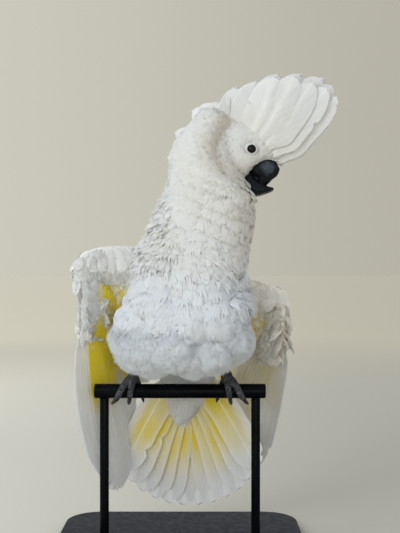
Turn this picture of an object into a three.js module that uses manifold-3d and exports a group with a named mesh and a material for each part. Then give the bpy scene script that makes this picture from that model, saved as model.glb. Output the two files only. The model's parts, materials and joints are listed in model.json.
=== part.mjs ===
// An umbrella cockatoo at life size, gripping a short bar on a plain display stand.
// Millimetres, +Z up. The bird's breast faces -Y, its left side is +X, and the base stands on Z = 0.
// The neck is stretched up, the head turned to the bird's left and dipped, the crest raised, and both
// wings are held a little open with their feathers hanging.
import * as THREE from "three";
import { mergeVertices } from "three/addons/utils/BufferGeometryUtils.js";
import Module from "manifold-3d";

const wasm = await Module();
wasm.setup();

// Driving dimensions
const GAP = 0.3; // air between neighbouring hard solids
const SEAM = 1; // air between feathered solids
const PERCH_RADIUS = 8;
const PERCH_LENGTH = 190;
const PERCH_HEIGHT = 180;
const ROD_RADIUS = 5;
const ROD_SPREAD = 84; // each rod from the middle of the perch
const BASE_WIDTH = 280;
const BASE_DEPTH = 220;
const BASE_THICKNESS = 10;
const BASE_CORNER = 40;
const BASE_CENTRE_Y = 24;
const FOOT_SPREAD = 50; // each ankle from the middle
const TOE_RADIUS = 4.6;
const EYE_RADIUS = 6.2;
const EYE_SPREAD = 22.5; // each eye's centre from the head's middle plane
const HEAD_DIP = THREE.MathUtils.degToRad(34);
const HEAD_TURN = THREE.MathUtils.degToRad(82); // from straight ahead towards the bird's left
const BETWEEN_EYES = [81.5, -6, 444.7];
const NECK_CUT = 346; // height of the seam between trunk and neck
const VANE_THICKNESS = 1.5;
const PLEAT = 1; // how far a feather's leading edge stands over its middle

const v = (x, y, z) => new THREE.Vector3(x, y, z);
const at = ([x, y, z]) => v(x, y, z);
const { lerp, smoothstep, degToRad } = THREE.MathUtils;

// ---------------------------------------------------------------- making solids

// A closed skin over rings that all have the same number of points. Each end is closed by a fan round
// its middle, or, on a thin sheet's long rings, by a strip across.
function skinOver(rings, thin = false) {
  const count = rings[0].length;
  const points = rings.flat();
  const faces = [];
  for (let ring = 0; ring + 1 < rings.length; ring++) {
    for (let i = 0; i < count; i++) {
      const a = ring * count + i;
      const b = ring * count + ((i + 1) % count);
      faces.push(a, b, b + count, a, b + count, a + count);
    }
  }
  const ends = [[0, true], [(rings.length - 1) * count, false]];
  for (const [first, flip] of ends) {
    const triangles = thin ? stripAcross(count) : fanRound(points, first, count);
    for (const [a, b, c] of triangles) faces.push(...(flip ? [b + first, a + first, c + first] : [a + first, b + first, c + first]));
  }
  if (signedVolume(points, faces) < 0) faces.reverse();
  return solidOf(new THREE.BufferGeometry().setFromPoints(points).setIndex(faces));
}

function stripAcross(count) {
  const half = count / 2;
  return Array.from({ length: half - 1 }, (_, i) => [[i, i + 1, count - 2 - i], [i, count - 2 - i, count - 1 - i]]).flat();
}

function fanRound(points, first, count) {
  const middle = v(0, 0, 0);
  for (let i = 0; i < count; i++) middle.addScaledVector(points[first + i], 1 / count);
  points.push(middle);
  return Array.from({ length: count }, (_, i) => [i, (i + 1) % count, points.length - 1 - first]);
}

function signedVolume(points, faces) {
  let sum = 0;
  for (let i = 0; i < faces.length; i += 3) {
    const [a, b, c] = faces.slice(i, i + 3).map((index) => points[index]);
    sum += a.dot(b.clone().cross(c));
  }
  return sum;
}

// A three.js geometry as a solid that can be joined and cut.
function solidOf(geometry) {
  const bare = geometry.clone();
  bare.deleteAttribute("normal");
  bare.deleteAttribute("uv");
  const merged = mergeVertices(bare, 1e-4);
  const made = { numProp: 3, vertProperties: merged.attributes.position.array, triVerts: new Uint32Array(merged.index.array) };
  return new wasm.Manifold(new wasm.Mesh(made));
}

function geometryOf(solid) {
  const made = solid.getMesh();
  const geometry = new THREE.BufferGeometry();
  geometry.setAttribute("position", new THREE.BufferAttribute(new Float32Array(made.vertProperties), 3));
  geometry.setIndex(new THREE.BufferAttribute(new Uint32Array(made.triVerts), 1));
  return geometry;
}

// The largest body of a solid, without the detail that is finer than its tolerance.
function tidied(solid, tolerance) {
  const bodies = solidOf(geometryOf(solid.simplify(tolerance))).simplify(tolerance).decompose();
  return bodies.reduce((best, body) => (body.volume() > best.volume() ? body : best));
}

function joined(solids) {
  return solids.reduce((sum, solid) => sum.add(solid));
}

// A ring of points round a centre. across and up are unit vectors, and the four reaches may differ.
function oval(centre, across, up, { left, right = left, top, bottom = top, sides = 20, power = 2 }) {
  return Array.from({ length: sides }, (_, i) => {
    const angle = (2 * Math.PI * i) / sides;
    const [c, s] = [Math.cos(angle), Math.sin(angle)];
    const x = Math.sign(c) * Math.abs(c) ** (2 / power) * (c > 0 ? right : left);
    const y = Math.sign(s) * Math.abs(s) ** (2 / power) * (s > 0 ? top : bottom);
    return centre.clone().addScaledVector(across, x).addScaledVector(up, y);
  });
}

// Rows of numbers, the first of each its key, joined by smooth curves: returns a function of the key.
function smoothTable(rows) {
  const rising = rows.toSorted((a, b) => a[0] - b[0]);
  const curve = new THREE.CubicInterpolant(rising.map((r) => r[0]), rising.flatMap((r) => r.slice(1)), rows[0].length - 1);
  return (key) => Array.from(curve.evaluate(key));
}

// A round tube through points, with a radius at each, smoothed in between.
function tube(points, radii, { sides = 8, steps = 8, flat = 1, up = v(0, 0, 1) }) {
  const curve = new THREE.CatmullRomCurve3(points);
  const rings = Array.from({ length: steps + 1 }, (_, i) => {
    const t = i / steps;
    const tangent = curve.getTangent(t);
    const across = v(0, 0, 0).crossVectors(tangent, up).normalize();
    const over = v(0, 0, 0).crossVectors(across, tangent);
    const place = t * (radii.length - 1);
    const low = Math.min(Math.floor(place), radii.length - 2);
    const radius = lerp(radii[low], radii[low + 1], place - low);
    return oval(curve.getPoint(t), across, over, { left: radius, top: radius * flat, sides });
  });
  return skinOver(rings);
}

// The line of a large feather's shaft. bow is the sideways bulge of its middle.
function quill(root, tip, bow) {
  const middle = root.clone().lerp(tip, 0.5).addScaledVector(bow, 2);
  return new THREE.QuadraticBezierCurve3(root, middle, tip);
}

// Large feathers side by side as one pleated sheet, from the leading one inwards. Each has its line, the
// way its back faces and the way its chord runs inwards. Its leading edge stands over its neighbour's.
function pleated(feathers, { width, outer, stops, notch, grow = 0 }) {
  const columns = feathers.flatMap(({ line, face, chord }, i) => {
    const half = width / 2 + grow;
    const between = (other, share) => (t) => line.getPoint(t * notch).lerp(other.line.getPoint(t * notch), share);
    const rim = (reach) => (t) => line.getPoint(t * notch).addScaledVector(acrossLine(line, chord, t), reach * Math.min(1, 0.2 + 2 * t));
    const lead = i ? between(feathers[i - 1], outer) : rim(-half * 2 * outer);
    const trail = i + 1 < feathers.length ? between(feathers[i + 1], 1 - outer) : rim(half * 2 * (1 - outer));
    const ridge = (t) => line.getPoint(t);
    return [[lead, PLEAT], [ridge, 0], [trail, -PLEAT]].map(([place, lift]) => {
      const side = (thick) => stops.map((t) => place(t).addScaledVector(face, lift * Math.min(1, t * 3) + thick));
      const thick = VANE_THICKNESS / 2 + grow;
      return [...side(thick), ...side(-thick).reverse()];
    });
  });
  return skinOver(columns, true);
}

function acrossLine(line, chord, t) {
  const along = line.getTangent(t);
  return chord.clone().addScaledVector(along, -along.dot(chord)).normalize();
}

// ---------------------------------------------------------------- the head's own frame

const HEAD_FORWARD = v(Math.sin(HEAD_TURN) * Math.cos(HEAD_DIP), -Math.cos(HEAD_TURN) * Math.cos(HEAD_DIP), -Math.sin(HEAD_DIP));
const HEAD_RIGHT = v(-Math.cos(HEAD_TURN), -Math.sin(HEAD_TURN), 0);
const HEAD_UP = v(0, 0, 0).crossVectors(HEAD_RIGHT, HEAD_FORWARD);

// A point given from between the eyes: forward, up and towards the bird's right.
function head(forward, up, right = 0) {
  return at(BETWEEN_EYES).addScaledVector(HEAD_FORWARD, forward).addScaledVector(HEAD_UP, up).addScaledVector(HEAD_RIGHT, right);
}

// ---------------------------------------------------------------- trunk, neck and head

// height, middle x, middle y, half width, reach to the front, reach to the back
const COLUMN = smoothTable([
  [203, 1, 6, 40, 30, 30],
  [210, 1, 3, 62, 48, 42],
  [222, 1, 0, 71, 60, 50],
  [248, 1, 0, 74, 66, 54],
  [285, 4, 0, 67, 64, 56],
  [315, 9, 0, 63, 58, 52],
  [346, 20, -1, 58, 49, 46],
  [372, 28, -4, 54, 45, 43],
  [400, 33, -7, 47, 42, 41],
  [425, 28, -8, 41, 37, 38],
  [452, 26, -9, 34, 32, 33],
  [474, 32, -9, 24, 24, 25],
  [490, 33, -9, 14, 14, 15],
  [497, 34, -9, 6, 6, 6],
]);
const COLUMN_HEIGHTS = [203, 207, 213, 222, 236, 254, 275, 296, 316, 334, 354, 374, 392, 410, 428, 446, 463, 477, 488, 494, 497];

function column(grow) {
  return skinOver(COLUMN_HEIGHTS.map((height) => {
    const [x, y, half, front, back] = COLUMN(height);
    const reach = { left: half + grow, top: back + grow, bottom: front + grow, sides: 20, power: 2.15 };
    return oval(v(x, y, height), v(1, 0, 0), v(0, 1, 0), reach);
  }));
}

// forward, top, bottom, half width
const FACE = smoothTable([
  [-46, 16, -36, 21],
  [-36, 23, -42, 27],
  [-20, 28, -46, 29],
  [-4, 29, -46, 28],
  [6, 27, -38, 25],
  [11, 25, -20, 22],
  [17, 22, -9, 18],
  [24, 17, -3, 13],
  [31, 8, 1, 6],
]);
const FACE_STEPS = [-46, -36, -26, -15, -4, 6, 11, 17, 24, 31];

function face(grow) {
  return skinOver(FACE_STEPS.map((forward) => {
    const [top, bottom, half] = FACE(forward);
    const reach = { left: half + grow, top: (top - bottom) / 2 + grow, sides: 16, power: 2.1 };
    return oval(head(forward, (top + bottom) / 2), HEAD_RIGHT, HEAD_UP, reach);
  }));
}

function flesh(grow) {
  return column(grow).add(face(grow));
}

// The seam under the head runs from the throat up to the nape.
const HEAD_CUT = { normal: v(0.28, 0, 1).normalize(), point: v(81, 0, 399) };

function slice(solid, normal, point) {
  const gapped = point.clone().addScaledVector(normal, SEAM / 2);
  return solid.trimByPlane(normal.toArray(), gapped.dot(normal));
}

// Trunk, neck and head as three pieces, with room left for the bill and the eyes.
function fleshPieces() {
  const rooms = [upperBill(SEAM), lowerBill(SEAM), eyeball(1, SEAM), eyeball(-1, SEAM)];
  const whole = rooms.reduce((solid, room) => solid.subtract(room), flesh(0));
  const level = v(0, 0, 1);
  const seam = v(0, 0, NECK_CUT);
  const under = (solid, normal, point) => slice(solid, normal.clone().negate(), point);
  const upper = slice(whole, level, seam);
  return {
    trunk: under(whole, level, seam),
    neck: under(upper, HEAD_CUT.normal, HEAD_CUT.point),
    head: slice(upper, HEAD_CUT.normal, HEAD_CUT.point),
  };
}

// ---------------------------------------------------------------- bill and eyes

const BILL_PIVOT = [15, -25];

// angle round the pivot, inner and outer radius, half width
const UPPER_BILL = smoothTable([
  [112, 1, 29, 12],
  [88, 1, 31, 12.5],
  [62, 2, 33, 11],
  [38, 4, 31.5, 8.5],
  [15, 4, 27, 6],
  [-8, 9, 22.5, 3.4],
  [-26, 16, 19, 1.4],
]);
const UPPER_BILL_ANGLES = [112, 92, 72, 52, 34, 16, 0, -14, -26];

function upperBill(grow) {
  return skinOver(UPPER_BILL_ANGLES.map((degrees) => {
    const [inner, outer, half] = UPPER_BILL(degrees);
    const [c, s] = [Math.cos(degToRad(degrees)), Math.sin(degToRad(degrees))];
    const middle = (inner + outer) / 2;
    const radial = v(0, 0, 0).addScaledVector(HEAD_FORWARD, c).addScaledVector(HEAD_UP, s);
    const reach = { left: half + grow, top: (outer - inner) / 2 + grow, sides: 10, power: 2.4 };
    return oval(head(BILL_PIVOT[0] + c * middle, BILL_PIVOT[1] + s * middle), HEAD_RIGHT, radial, reach);
  }));
}

// forward, top, bottom, half width
const LOWER_BILL = smoothTable([
  [6, -19, -38, 11],
  [13, -20, -43, 13.5],
  [22, -25, -46, 14],
  [30, -26, -42.5, 12.5],
  [36, -25.5, -36, 10],
  [41, -23.5, -29, 7.5],
]);
const LOWER_BILL_STEPS = [6, 13, 20, 27, 33, 37.5, 41];

function lowerBill(grow) {
  const scoop = skinOver(LOWER_BILL_STEPS.map((forward) => {
    const [top, bottom, half] = LOWER_BILL(forward);
    const reach = { left: half + grow, top: (top - bottom) / 2 + grow, sides: 10, power: 2.6 };
    return oval(head(forward, (top + bottom) / 2), HEAD_RIGHT, HEAD_UP, reach);
  }));
  if (grow) return scoop;
  const notch = tube([head(36, -18), head(46, -27)], [4.5, 4.5], { sides: 8, steps: 1, up: HEAD_RIGHT });
  return scoop.subtract(upperBill(GAP)).subtract(notch);
}

function eyeball(side, grow) {
  const ball = new THREE.SphereGeometry(EYE_RADIUS + grow, 12, 8);
  const centre = head(0, 0, side * EYE_SPREAD);
  return solidOf(ball.translate(centre.x, centre.y, centre.z));
}

// ---------------------------------------------------------------- crest

// Forward and up, of the middle feather in each row from the forehead back
const CREST_ROOTS = new THREE.CatmullRomCurve3([v(32, 7, 0), v(20, 18, 0), v(3, 25, 0), v(-15, 26, 0), v(-29, 22, 0)]);
const CREST_TIPS = new THREE.CatmullRomCurve3([v(65, 84, 0), v(49, 99, 0), v(19, 99, 0), v(-11, 84, 0), v(-35, 59, 0)]);
const CREST_ROWS = 5;
const CREST_ACROSS = [-1, -0.35, 0.35, 1]; // the feathers of a row, from the bird's left to its right
const CREST_SPREAD = [9, 27]; // of the outer feathers to the side, at their roots and at their tips
const CREST_SWEEP = [6, 27]; // of the outer feathers to the back
const CREST_WRAP = degToRad(62); // how far the outer feathers turn to the side

function crestFeather(k, across) {
  const [root, tip] = [CREST_ROOTS.getPoint(k), CREST_TIPS.getPoint(k)];
  const fullness = Math.sin(Math.PI * lerp(0.22, 0.8, k));
  const aside = Math.abs(across);
  const bulge = lerp(13, 3, k);
  const line = quill(
    head(root.x - aside * CREST_SWEEP[0], root.y - 5, across * CREST_SPREAD[0]),
    head(tip.x - aside * CREST_SWEEP[1], tip.y - 7 * aside * aside, across * CREST_SPREAD[1] * fullness),
    head(bulge, -bulge * 0.2, across * 3).sub(head(0, 0)),
  );
  const turn = new THREE.Quaternion().setFromAxisAngle(HEAD_UP, -across * CREST_WRAP);
  return { line, face: HEAD_FORWARD.clone().applyQuaternion(turn), chord: HEAD_RIGHT.clone().applyQuaternion(turn) };
}

function crest(grow) {
  const crown = tube([head(33, 9), head(22, 20), head(4, 28), head(-16, 29), head(-33, 24)], [6, 10, 14, 13, 7], { sides: 8, steps: 5, flat: 0.6, up: HEAD_UP });
  const rows = Array.from({ length: CREST_ROWS }, (_, i) => {
    const feathers = CREST_ACROSS.map((across) => crestFeather(i / (CREST_ROWS - 1), across));
    return pleated(feathers, { width: 32, outer: 0.5, stops: [0, 0.4, 0.75, 1], notch: 0.95, grow });
  });
  return joined([crown, ...rows]);
}

// ---------------------------------------------------------------- wings

const PRIMARIES = 10;
const SECONDARIES = 8;

// Each wing's joints, the line that its feather tips follow from the leading feather inwards, and its
// padded parts as sections: a point on the leading edge, one on the trailing edge and the half thickness.
const WINGS = {
  right: {
    elbow: [-62, 50, 288],
    wrist: [-104, -2, 324],
    hand: [-102, 4, 262],
    tips: [[-90, 22, 86], [-77, 34, 61], [-65, 52, 66], [-59, 66, 110], [-58, 74, 158], [-52, 80, 176], [-40, 84, 178]],
    armPad: [
      [[-24, 18, 343], [-30, 36, 268], 10],
      [[-44, 18, 346], [-50, 48, 254], 12],
      [[-66, 10, 347], [-70, 44, 264], 11],
      [[-90, 0, 345], [-90, 24, 286], 10],
      [[-107, -6, 339], [-106, 6, 302], 7],
      [[-114, -8, 328], [-113, -2, 312], 3],
    ],
    handPad: [
      [[-110, -8, 336], [-100, 4, 338], 5],
      [[-117, -9, 322], [-93, 12, 318], 8],
      [[-116, -9, 290], [-84, 22, 288], 8],
      [[-115, -6, 258], [-80, 30, 256], 6],
      [[-114, 0, 230], [-84, 32, 228], 2.5],
    ],
    handChord: v(0.8, 0.6, 0),
    armChord: v(0.62, 0.78, 0),
    bow: v(-14, -8, 0),
    back: 1,
  },
  left: {
    elbow: [86, 58, 262],
    wrist: [114, 2, 291],
    hand: [113, 16, 234],
    tips: [[106, 104, 146], [101, 128, 84], [88, 134, 62], [76, 134, 68], [68, 126, 104], [64, 112, 142], [56, 102, 160], [44, 96, 164]],
    armPad: [
      [[56, 20, 308], [52, 36, 248], 10],
      [[72, 16, 308], [66, 50, 234], 12],
      [[92, 10, 306], [84, 54, 232], 11],
      [[110, 4, 299], [102, 36, 246], 10],
      [[121, 2, 288], [118, 12, 262], 7],
      [[126, 1, 281], [124, 4, 270], 3],
    ],
    handPad: [
      [[120, -1, 294], [108, 12, 292], 5],
      [[126.5, 0.5, 282], [102, 25, 278], 8.5],
      [[127, 6, 254], [97, 36, 250], 8],
      [[125, 15, 230], [92, 47, 227], 6],
      [[116, 27, 207], [91, 56, 208], 3],
    ],
    handChord: v(-0.75, 0.66, 0.1),
    armChord: v(-0.6, 0.8, 0),
    bow: v(5, -6, 0),
    back: -1,
  },
};

// Flight feather number `place`, counted from the leading one inwards: primaries, then secondaries.
function flightFeather(wing, place) {
  const { elbow, wrist, hand, tips, bow, handChord, armChord, back } = wing;
  const onHand = place < PRIMARIES;
  const k = onHand ? place / (PRIMARIES - 1) : (place - PRIMARIES) / (SECONDARIES - 1);
  const root = onHand ? at(hand).lerp(at(wrist), k * 0.72) : at(wrist).lerp(at(elbow), 0.1 + 0.9 * k);
  if (!onHand) root.z -= 12;
  const share = place / (PRIMARIES + SECONDARIES - 1);
  const tip = new THREE.CatmullRomCurve3(tips.map(at)).getPoint(share);
  const along = tip.clone().sub(root).normalize();
  const chord = handChord.clone().lerp(armChord, smoothstep(share, 0.2, 0.6)).normalize();
  const face = along.clone().cross(chord).multiplyScalar(back).normalize();
  return { line: quill(root, tip, bow.clone().multiplyScalar((1 - share) ** 2)), face, chord };
}

function flightFeathers(wing, first, count, stops, grow) {
  const feathers = Array.from({ length: count }, (_, i) => flightFeather(wing, first + i));
  return pleated(feathers, { width: 20, outer: 0.35, stops, notch: 0.95, grow });
}

// A padded part of the wing: a slab of oval sections.
function pad(sections, grow) {
  const middles = sections.map(([lead, trail]) => at(lead).lerp(at(trail), 0.5));
  return skinOver(sections.map(([lead, trail, thickness], i) => {
    const across = at(trail).sub(at(lead));
    const along = middles[Math.min(i + 1, middles.length - 1)].clone().sub(middles[Math.max(i - 1, 0)]);
    const over = across.clone().cross(along).normalize();
    const reach = { left: across.length() / 2 + grow, top: thickness + grow, sides: 10, power: 2.3 };
    return oval(middles[i], across.normalize(), over, reach);
  }));
}

function handPart(wing, grow) {
  return flightFeathers(wing, 0, PRIMARIES, [0, 0.4, 0.75, 1], grow).add(pad(wing.handPad, grow));
}

function armPart(wing, grow) {
  return pad(wing.armPad, grow).add(flightFeathers(wing, PRIMARIES, SECONDARIES, [0, 1], grow));
}

// ---------------------------------------------------------------- tail

const TAIL_VANES = 12;
const TAIL_ROOT = [8, 50, 196];
const TAIL_LENGTH = 168;
const TAIL_FAN = degToRad(29); // from the middle to the outermost feather
const TAIL_LEAN = degToRad(10); // how far the tail slopes back

function tailFeather(i) {
  const k = (2 * i) / (TAIL_VANES - 1) - 1;
  const angle = k * TAIL_FAN + 0.02;
  const length = TAIL_LENGTH * (1 - 0.2 * k * k);
  const along = v(Math.sin(angle), Math.sin(TAIL_LEAN), -Math.cos(angle) * Math.cos(TAIL_LEAN)).normalize();
  const root = at(TAIL_ROOT).add(v(k * 12, (1 - Math.abs(k)) * 3, 0));
  const tip = root.clone().addScaledVector(along, length);
  return { line: quill(root, tip, v(k * 4, 0, 0)), face: v(k * 0.14, 1, 0).normalize(), chord: v(1, 0, 0) };
}

function tail(grow) {
  const rump = [v(6, 28, 252), v(7, 44, 216), v(6, 54, 180), v(0, 61, 152), v(-3, 66, 134)];
  const coverts = tube(rump, [44, 38, 27, 18, 7].map((r) => r + grow), { sides: 12, steps: 5, flat: 0.55, up: v(0, 1, 0) });
  const feathers = Array.from({ length: TAIL_VANES }, (_, i) => tailFeather(i));
  return coverts.add(pleated(feathers, { width: 20, outer: 0.5, stops: [0, 1], notch: 0.96, grow }));
}

// ---------------------------------------------------------------- legs

// A point on a circle round the perch. angle 0 is its top and a quarter turn on is its front.
function roundPerch(x, radius, angle) {
  return v(x, -radius * Math.sin(angle), PERCH_HEIGHT + radius * Math.cos(angle));
}

// start x and its splay, first and last angle, and how thick: two toes in front and two behind
const TOES = {
  inner_front: { start: 1, splay: 4, to: 118, thick: 1 },
  outer_front: { start: 5, splay: 15, to: 126, thick: 1.05 },
  inner_back: { start: 0, splay: -6, to: -104, thick: 0.85 },
  outer_back: { start: 5, splay: 12, to: -114, thick: 0.95 },
};
const TOE_STEPS = 6;
const CLAW_LENGTH = 13;

function toePath(foot, toe, share) {
  const x = foot * (FOOT_SPREAD + toe.start + toe.splay * share);
  const radius = PERCH_RADIUS + GAP + TOE_RADIUS * toe.thick * lerp(1.05, 0.8, share);
  return roundPerch(x, radius, degToRad(toe.to) * share);
}

function toeSolid(foot, toe) {
  const points = Array.from({ length: TOE_STEPS + 1 }, (_, i) => toePath(foot, toe, i / TOE_STEPS));
  const knuckle = (i) => TOE_RADIUS * toe.thick * lerp(1, 0.72, i / TOE_STEPS) * (i % 2 ? 1 : 0.9);
  return tube(points, points.map((_, i) => knuckle(i)), { sides: 6, steps: TOE_STEPS, up: v(1, 0, 0) });
}

function leg(foot) {
  const ankle = v(foot * (FOOT_SPREAD - 2), 4, 214);
  const sole = v(foot * (FOOT_SPREAD + 2), 0, PERCH_HEIGHT + PERCH_RADIUS + GAP + 7.1);
  const shank = tube([ankle, ankle.clone().lerp(sole, 0.6), sole], [5.6, 5.8, 7], { sides: 8, steps: 3, up: v(0, 1, 0) });
  const toes = Object.values(TOES).map((toe) => toeSolid(foot, toe));
  return joined([shank, ...toes]);
}

function claw(foot, toe) {
  const end = toePath(foot, toe, 1);
  const before = toePath(foot, toe, 0.96);
  const ahead = end.clone().sub(before).normalize();
  const inwards = v(0, 0, PERCH_HEIGHT).sub(end).setX(0).normalize();
  const start = end.clone().addScaledVector(ahead, GAP + 1.2);
  const bend = start.clone().addScaledVector(ahead, CLAW_LENGTH * 0.55).addScaledVector(inwards, 0.6);
  const tip = start.clone().addScaledVector(ahead, CLAW_LENGTH * 0.85).addScaledVector(inwards, 4.5);
  return tube([start, bend, tip], [2.7, 2.1, 0.5], { sides: 5, steps: 3, up: v(1, 0, 0) });
}

function thigh(foot, grow) {
  const points = [v(foot * 42, -10, 262), v(foot * 49, -12, 234), v(foot * 51, -5, 214), v(foot * 49, 2, 203)];
  return tube(points, [14 + grow, 24 + grow, 18 + grow, 8.5 + grow], { sides: 12, steps: 6, up: v(0, 1, 0) });
}

// ---------------------------------------------------------------- perch and stand

function perch(grow) {
  const bar = new THREE.CylinderGeometry(PERCH_RADIUS + grow, PERCH_RADIUS + grow, PERCH_LENGTH + 2 * grow, 24);
  return solidOf(bar.rotateZ(Math.PI / 2).translate(0, 0, PERCH_HEIGHT));
}

function rod(side) {
  const height = PERCH_HEIGHT - BASE_THICKNESS;
  const bar = new THREE.CylinderGeometry(ROD_RADIUS, ROD_RADIUS, height, 16);
  const upright = bar.rotateX(Math.PI / 2).translate(side * ROD_SPREAD, 0, BASE_THICKNESS + height / 2);
  return solidOf(upright).subtract(perch(GAP));
}

function base() {
  const [x, y, r] = [BASE_WIDTH / 2, BASE_DEPTH / 2, BASE_CORNER];
  const bevel = 1.5;
  const [ix, iy] = [x - bevel, y - bevel];
  const plate = new THREE.Shape();
  plate.moveTo(ix - r, -iy);
  plate.absarc(ix - r, -iy + r, r, -Math.PI / 2, 0);
  plate.absarc(ix - r, iy - r, r, 0, Math.PI / 2);
  plate.absarc(-ix + r, iy - r, r, Math.PI / 2, Math.PI);
  plate.absarc(-ix + r, -iy + r, r, Math.PI, 1.5 * Math.PI);
  const depth = BASE_THICKNESS - 2 * bevel;
  const slab = new THREE.ExtrudeGeometry(plate, { depth, bevelSize: bevel, bevelThickness: bevel, bevelSegments: 1, curveSegments: 3 });
  return solidOf(slab.translate(0, BASE_CENTRE_Y, bevel));
}

// ---------------------------------------------------------------- the whole model

const COLOURS = {
  white_feather: { color: 0xeceae4, roughness: 0.85, metalness: 0 },
  flight_feather: { color: 0xe9e3b8, roughness: 0.7, metalness: 0 },
  bill: { color: 0x1d2023, roughness: 0.4, metalness: 0 },
  eye: { color: 0x0a0807, roughness: 0.08, metalness: 0 },
  foot_skin: { color: 0x3c3f44, roughness: 0.75, metalness: 0 },
  claw: { color: 0x151617, roughness: 0.4, metalness: 0 },
  black_paint: { color: 0x101214, roughness: 0.38, metalness: 0.2 },
};

// The smallest detail kept on the soft pieces
const FINENESS = { white_feather: 0.3, flight_feather: 0.3, foot_skin: 0.18 };

const group = new THREE.Group();

function addPiece(name, solid, look) {
  const geometry = geometryOf(tidied(solid, FINENESS[look] ?? 0.03));
  geometry.computeVertexNormals();
  const mesh = new THREE.Mesh(geometry, new THREE.MeshStandardMaterial(COLOURS[look]));
  mesh.name = name;
  group.add(mesh);
}

const SIDES = { right: -1, left: 1 }; // the bird's own sides, along X
const pieces = fleshPieces();
const bodyForm = flesh(SEAM);
const crownCrest = crest(0).subtract(bodyForm).subtract(upperBill(SEAM));

addPiece("trunk", pieces.trunk, "white_feather");
addPiece("neck", pieces.neck, "white_feather");
addPiece("head", pieces.head, "white_feather");
addPiece("crest", crownCrest, "white_feather");
addPiece("bill_upper", upperBill(0), "bill");
addPiece("bill_lower", lowerBill(0), "bill");

const tailForm = tail(0).subtract(bodyForm);
addPiece("tail", tailForm, "flight_feather");

for (const [name, side] of Object.entries(SIDES)) {
  addPiece(`eye_${name}`, eyeball(-side, 0), "eye");

  const wing = WINGS[name];
  const handForm = handPart(wing, 0).subtract(bodyForm).subtract(tail(SEAM));
  addPiece(`wing_${name}_hand`, handForm, "flight_feather");
  addPiece(`wing_${name}_arm`, armPart(wing, 0).subtract(bodyForm).subtract(handPart(wing, SEAM)).subtract(tail(SEAM)), "white_feather");

  addPiece(`thigh_${name}`, thigh(side, 0).subtract(bodyForm), "white_feather");
  addPiece(`leg_${name}`, leg(side).subtract(thigh(side, SEAM)).subtract(bodyForm), "foot_skin");
  for (const [toeName, toe] of Object.entries(TOES)) {
    addPiece(`claw_${name}_${toeName}`, claw(side, toe), "claw");
  }
  addPiece(`stand_rod_${name}`, rod(side), "black_paint");
}

addPiece("perch", perch(0), "black_paint");
addPiece("stand_base", base(), "black_paint");

export default group;
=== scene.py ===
"""A white cockatoo, life size, on a short rail over a plain display stand.

Lengths in the tables are in millimetres, in the model's own frame: Z is up, the
breast faces -Y and the bird's left is towards +X. Pieces are scaled to metres
when they are made.
"""

import json
import math

import bpy
import numpy as np
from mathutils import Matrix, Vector
from mathutils.bvhtree import BVHTree
from mathutils.kdtree import KDTree

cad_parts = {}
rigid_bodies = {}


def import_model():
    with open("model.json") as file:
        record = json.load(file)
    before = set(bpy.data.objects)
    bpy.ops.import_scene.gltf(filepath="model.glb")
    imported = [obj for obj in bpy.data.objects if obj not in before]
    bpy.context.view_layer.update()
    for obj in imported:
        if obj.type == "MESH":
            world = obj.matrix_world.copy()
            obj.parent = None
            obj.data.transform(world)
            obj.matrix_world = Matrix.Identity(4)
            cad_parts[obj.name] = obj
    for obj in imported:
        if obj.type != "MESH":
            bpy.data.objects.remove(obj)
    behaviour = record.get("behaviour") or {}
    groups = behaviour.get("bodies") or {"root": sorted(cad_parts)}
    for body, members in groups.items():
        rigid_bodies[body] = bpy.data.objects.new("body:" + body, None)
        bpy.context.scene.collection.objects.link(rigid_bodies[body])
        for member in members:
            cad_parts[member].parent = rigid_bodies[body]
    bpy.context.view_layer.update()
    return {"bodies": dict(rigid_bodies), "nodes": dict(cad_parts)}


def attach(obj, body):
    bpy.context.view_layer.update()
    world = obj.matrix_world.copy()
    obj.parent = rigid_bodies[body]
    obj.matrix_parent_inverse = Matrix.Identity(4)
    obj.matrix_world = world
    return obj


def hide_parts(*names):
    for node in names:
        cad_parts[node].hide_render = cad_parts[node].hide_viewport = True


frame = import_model()

MM = 0.001  # metres in a millimetre


# ---------------------------------------------------------------- numbers and vectors


def vec(*xyz):
    return np.array(xyz, float)


def unit(a):
    """Vectors at a length of one."""
    return a / np.maximum(np.linalg.norm(a, axis=-1, keepdims=True), 1e-9)


def ease(t, low=0.0, high=1.0):
    """0 at low, 1 at high and smooth in between. high may be the smaller one."""
    t = np.clip((np.asarray(t, float) - low) / (high - low), 0.0, 1.0)
    return t * t * (3.0 - 2.0 * t)


def mix(a, b, t):
    """a where t is 0 and b where it is 1."""
    return a + (b - a) * t


def along_curve(points, t):
    """A point on a smooth curve through points, t from 0 to 1."""
    points = np.asarray(points, float)
    place = np.clip(t, 0.0, 1.0) * (len(points) - 1)
    i = min(int(place), len(points) - 2)
    f = place - i
    p1, p2 = points[i], points[i + 1]
    p0 = points[i - 1] if i else 2 * p1 - p2
    p3 = points[i + 2] if i + 2 < len(points) else 2 * p2 - p1
    slope = 2 * p0 - 5 * p1 + 4 * p2 - p3
    return 0.5 * (2 * p1 + (p2 - p0) * f + slope * f**2 + (3 * p1 - p0 - 3 * p2 + p3) * f**3)


def waves(points, size, seed):
    """A smooth field from about -1 to 1 over points, with lumps about size across."""
    rng = np.random.default_rng(seed)
    total = np.zeros(len(points))
    for _ in range(6):
        way = unit(rng.normal(size=3)) * (2 * math.pi / size) * rng.uniform(0.6, 1.5)
        phase = rng.uniform(0, 6.28)
        total += np.sin(points @ way + phase)
    return total / 2.6


# ---------------------------------------------------------------- the head's own frame

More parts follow.
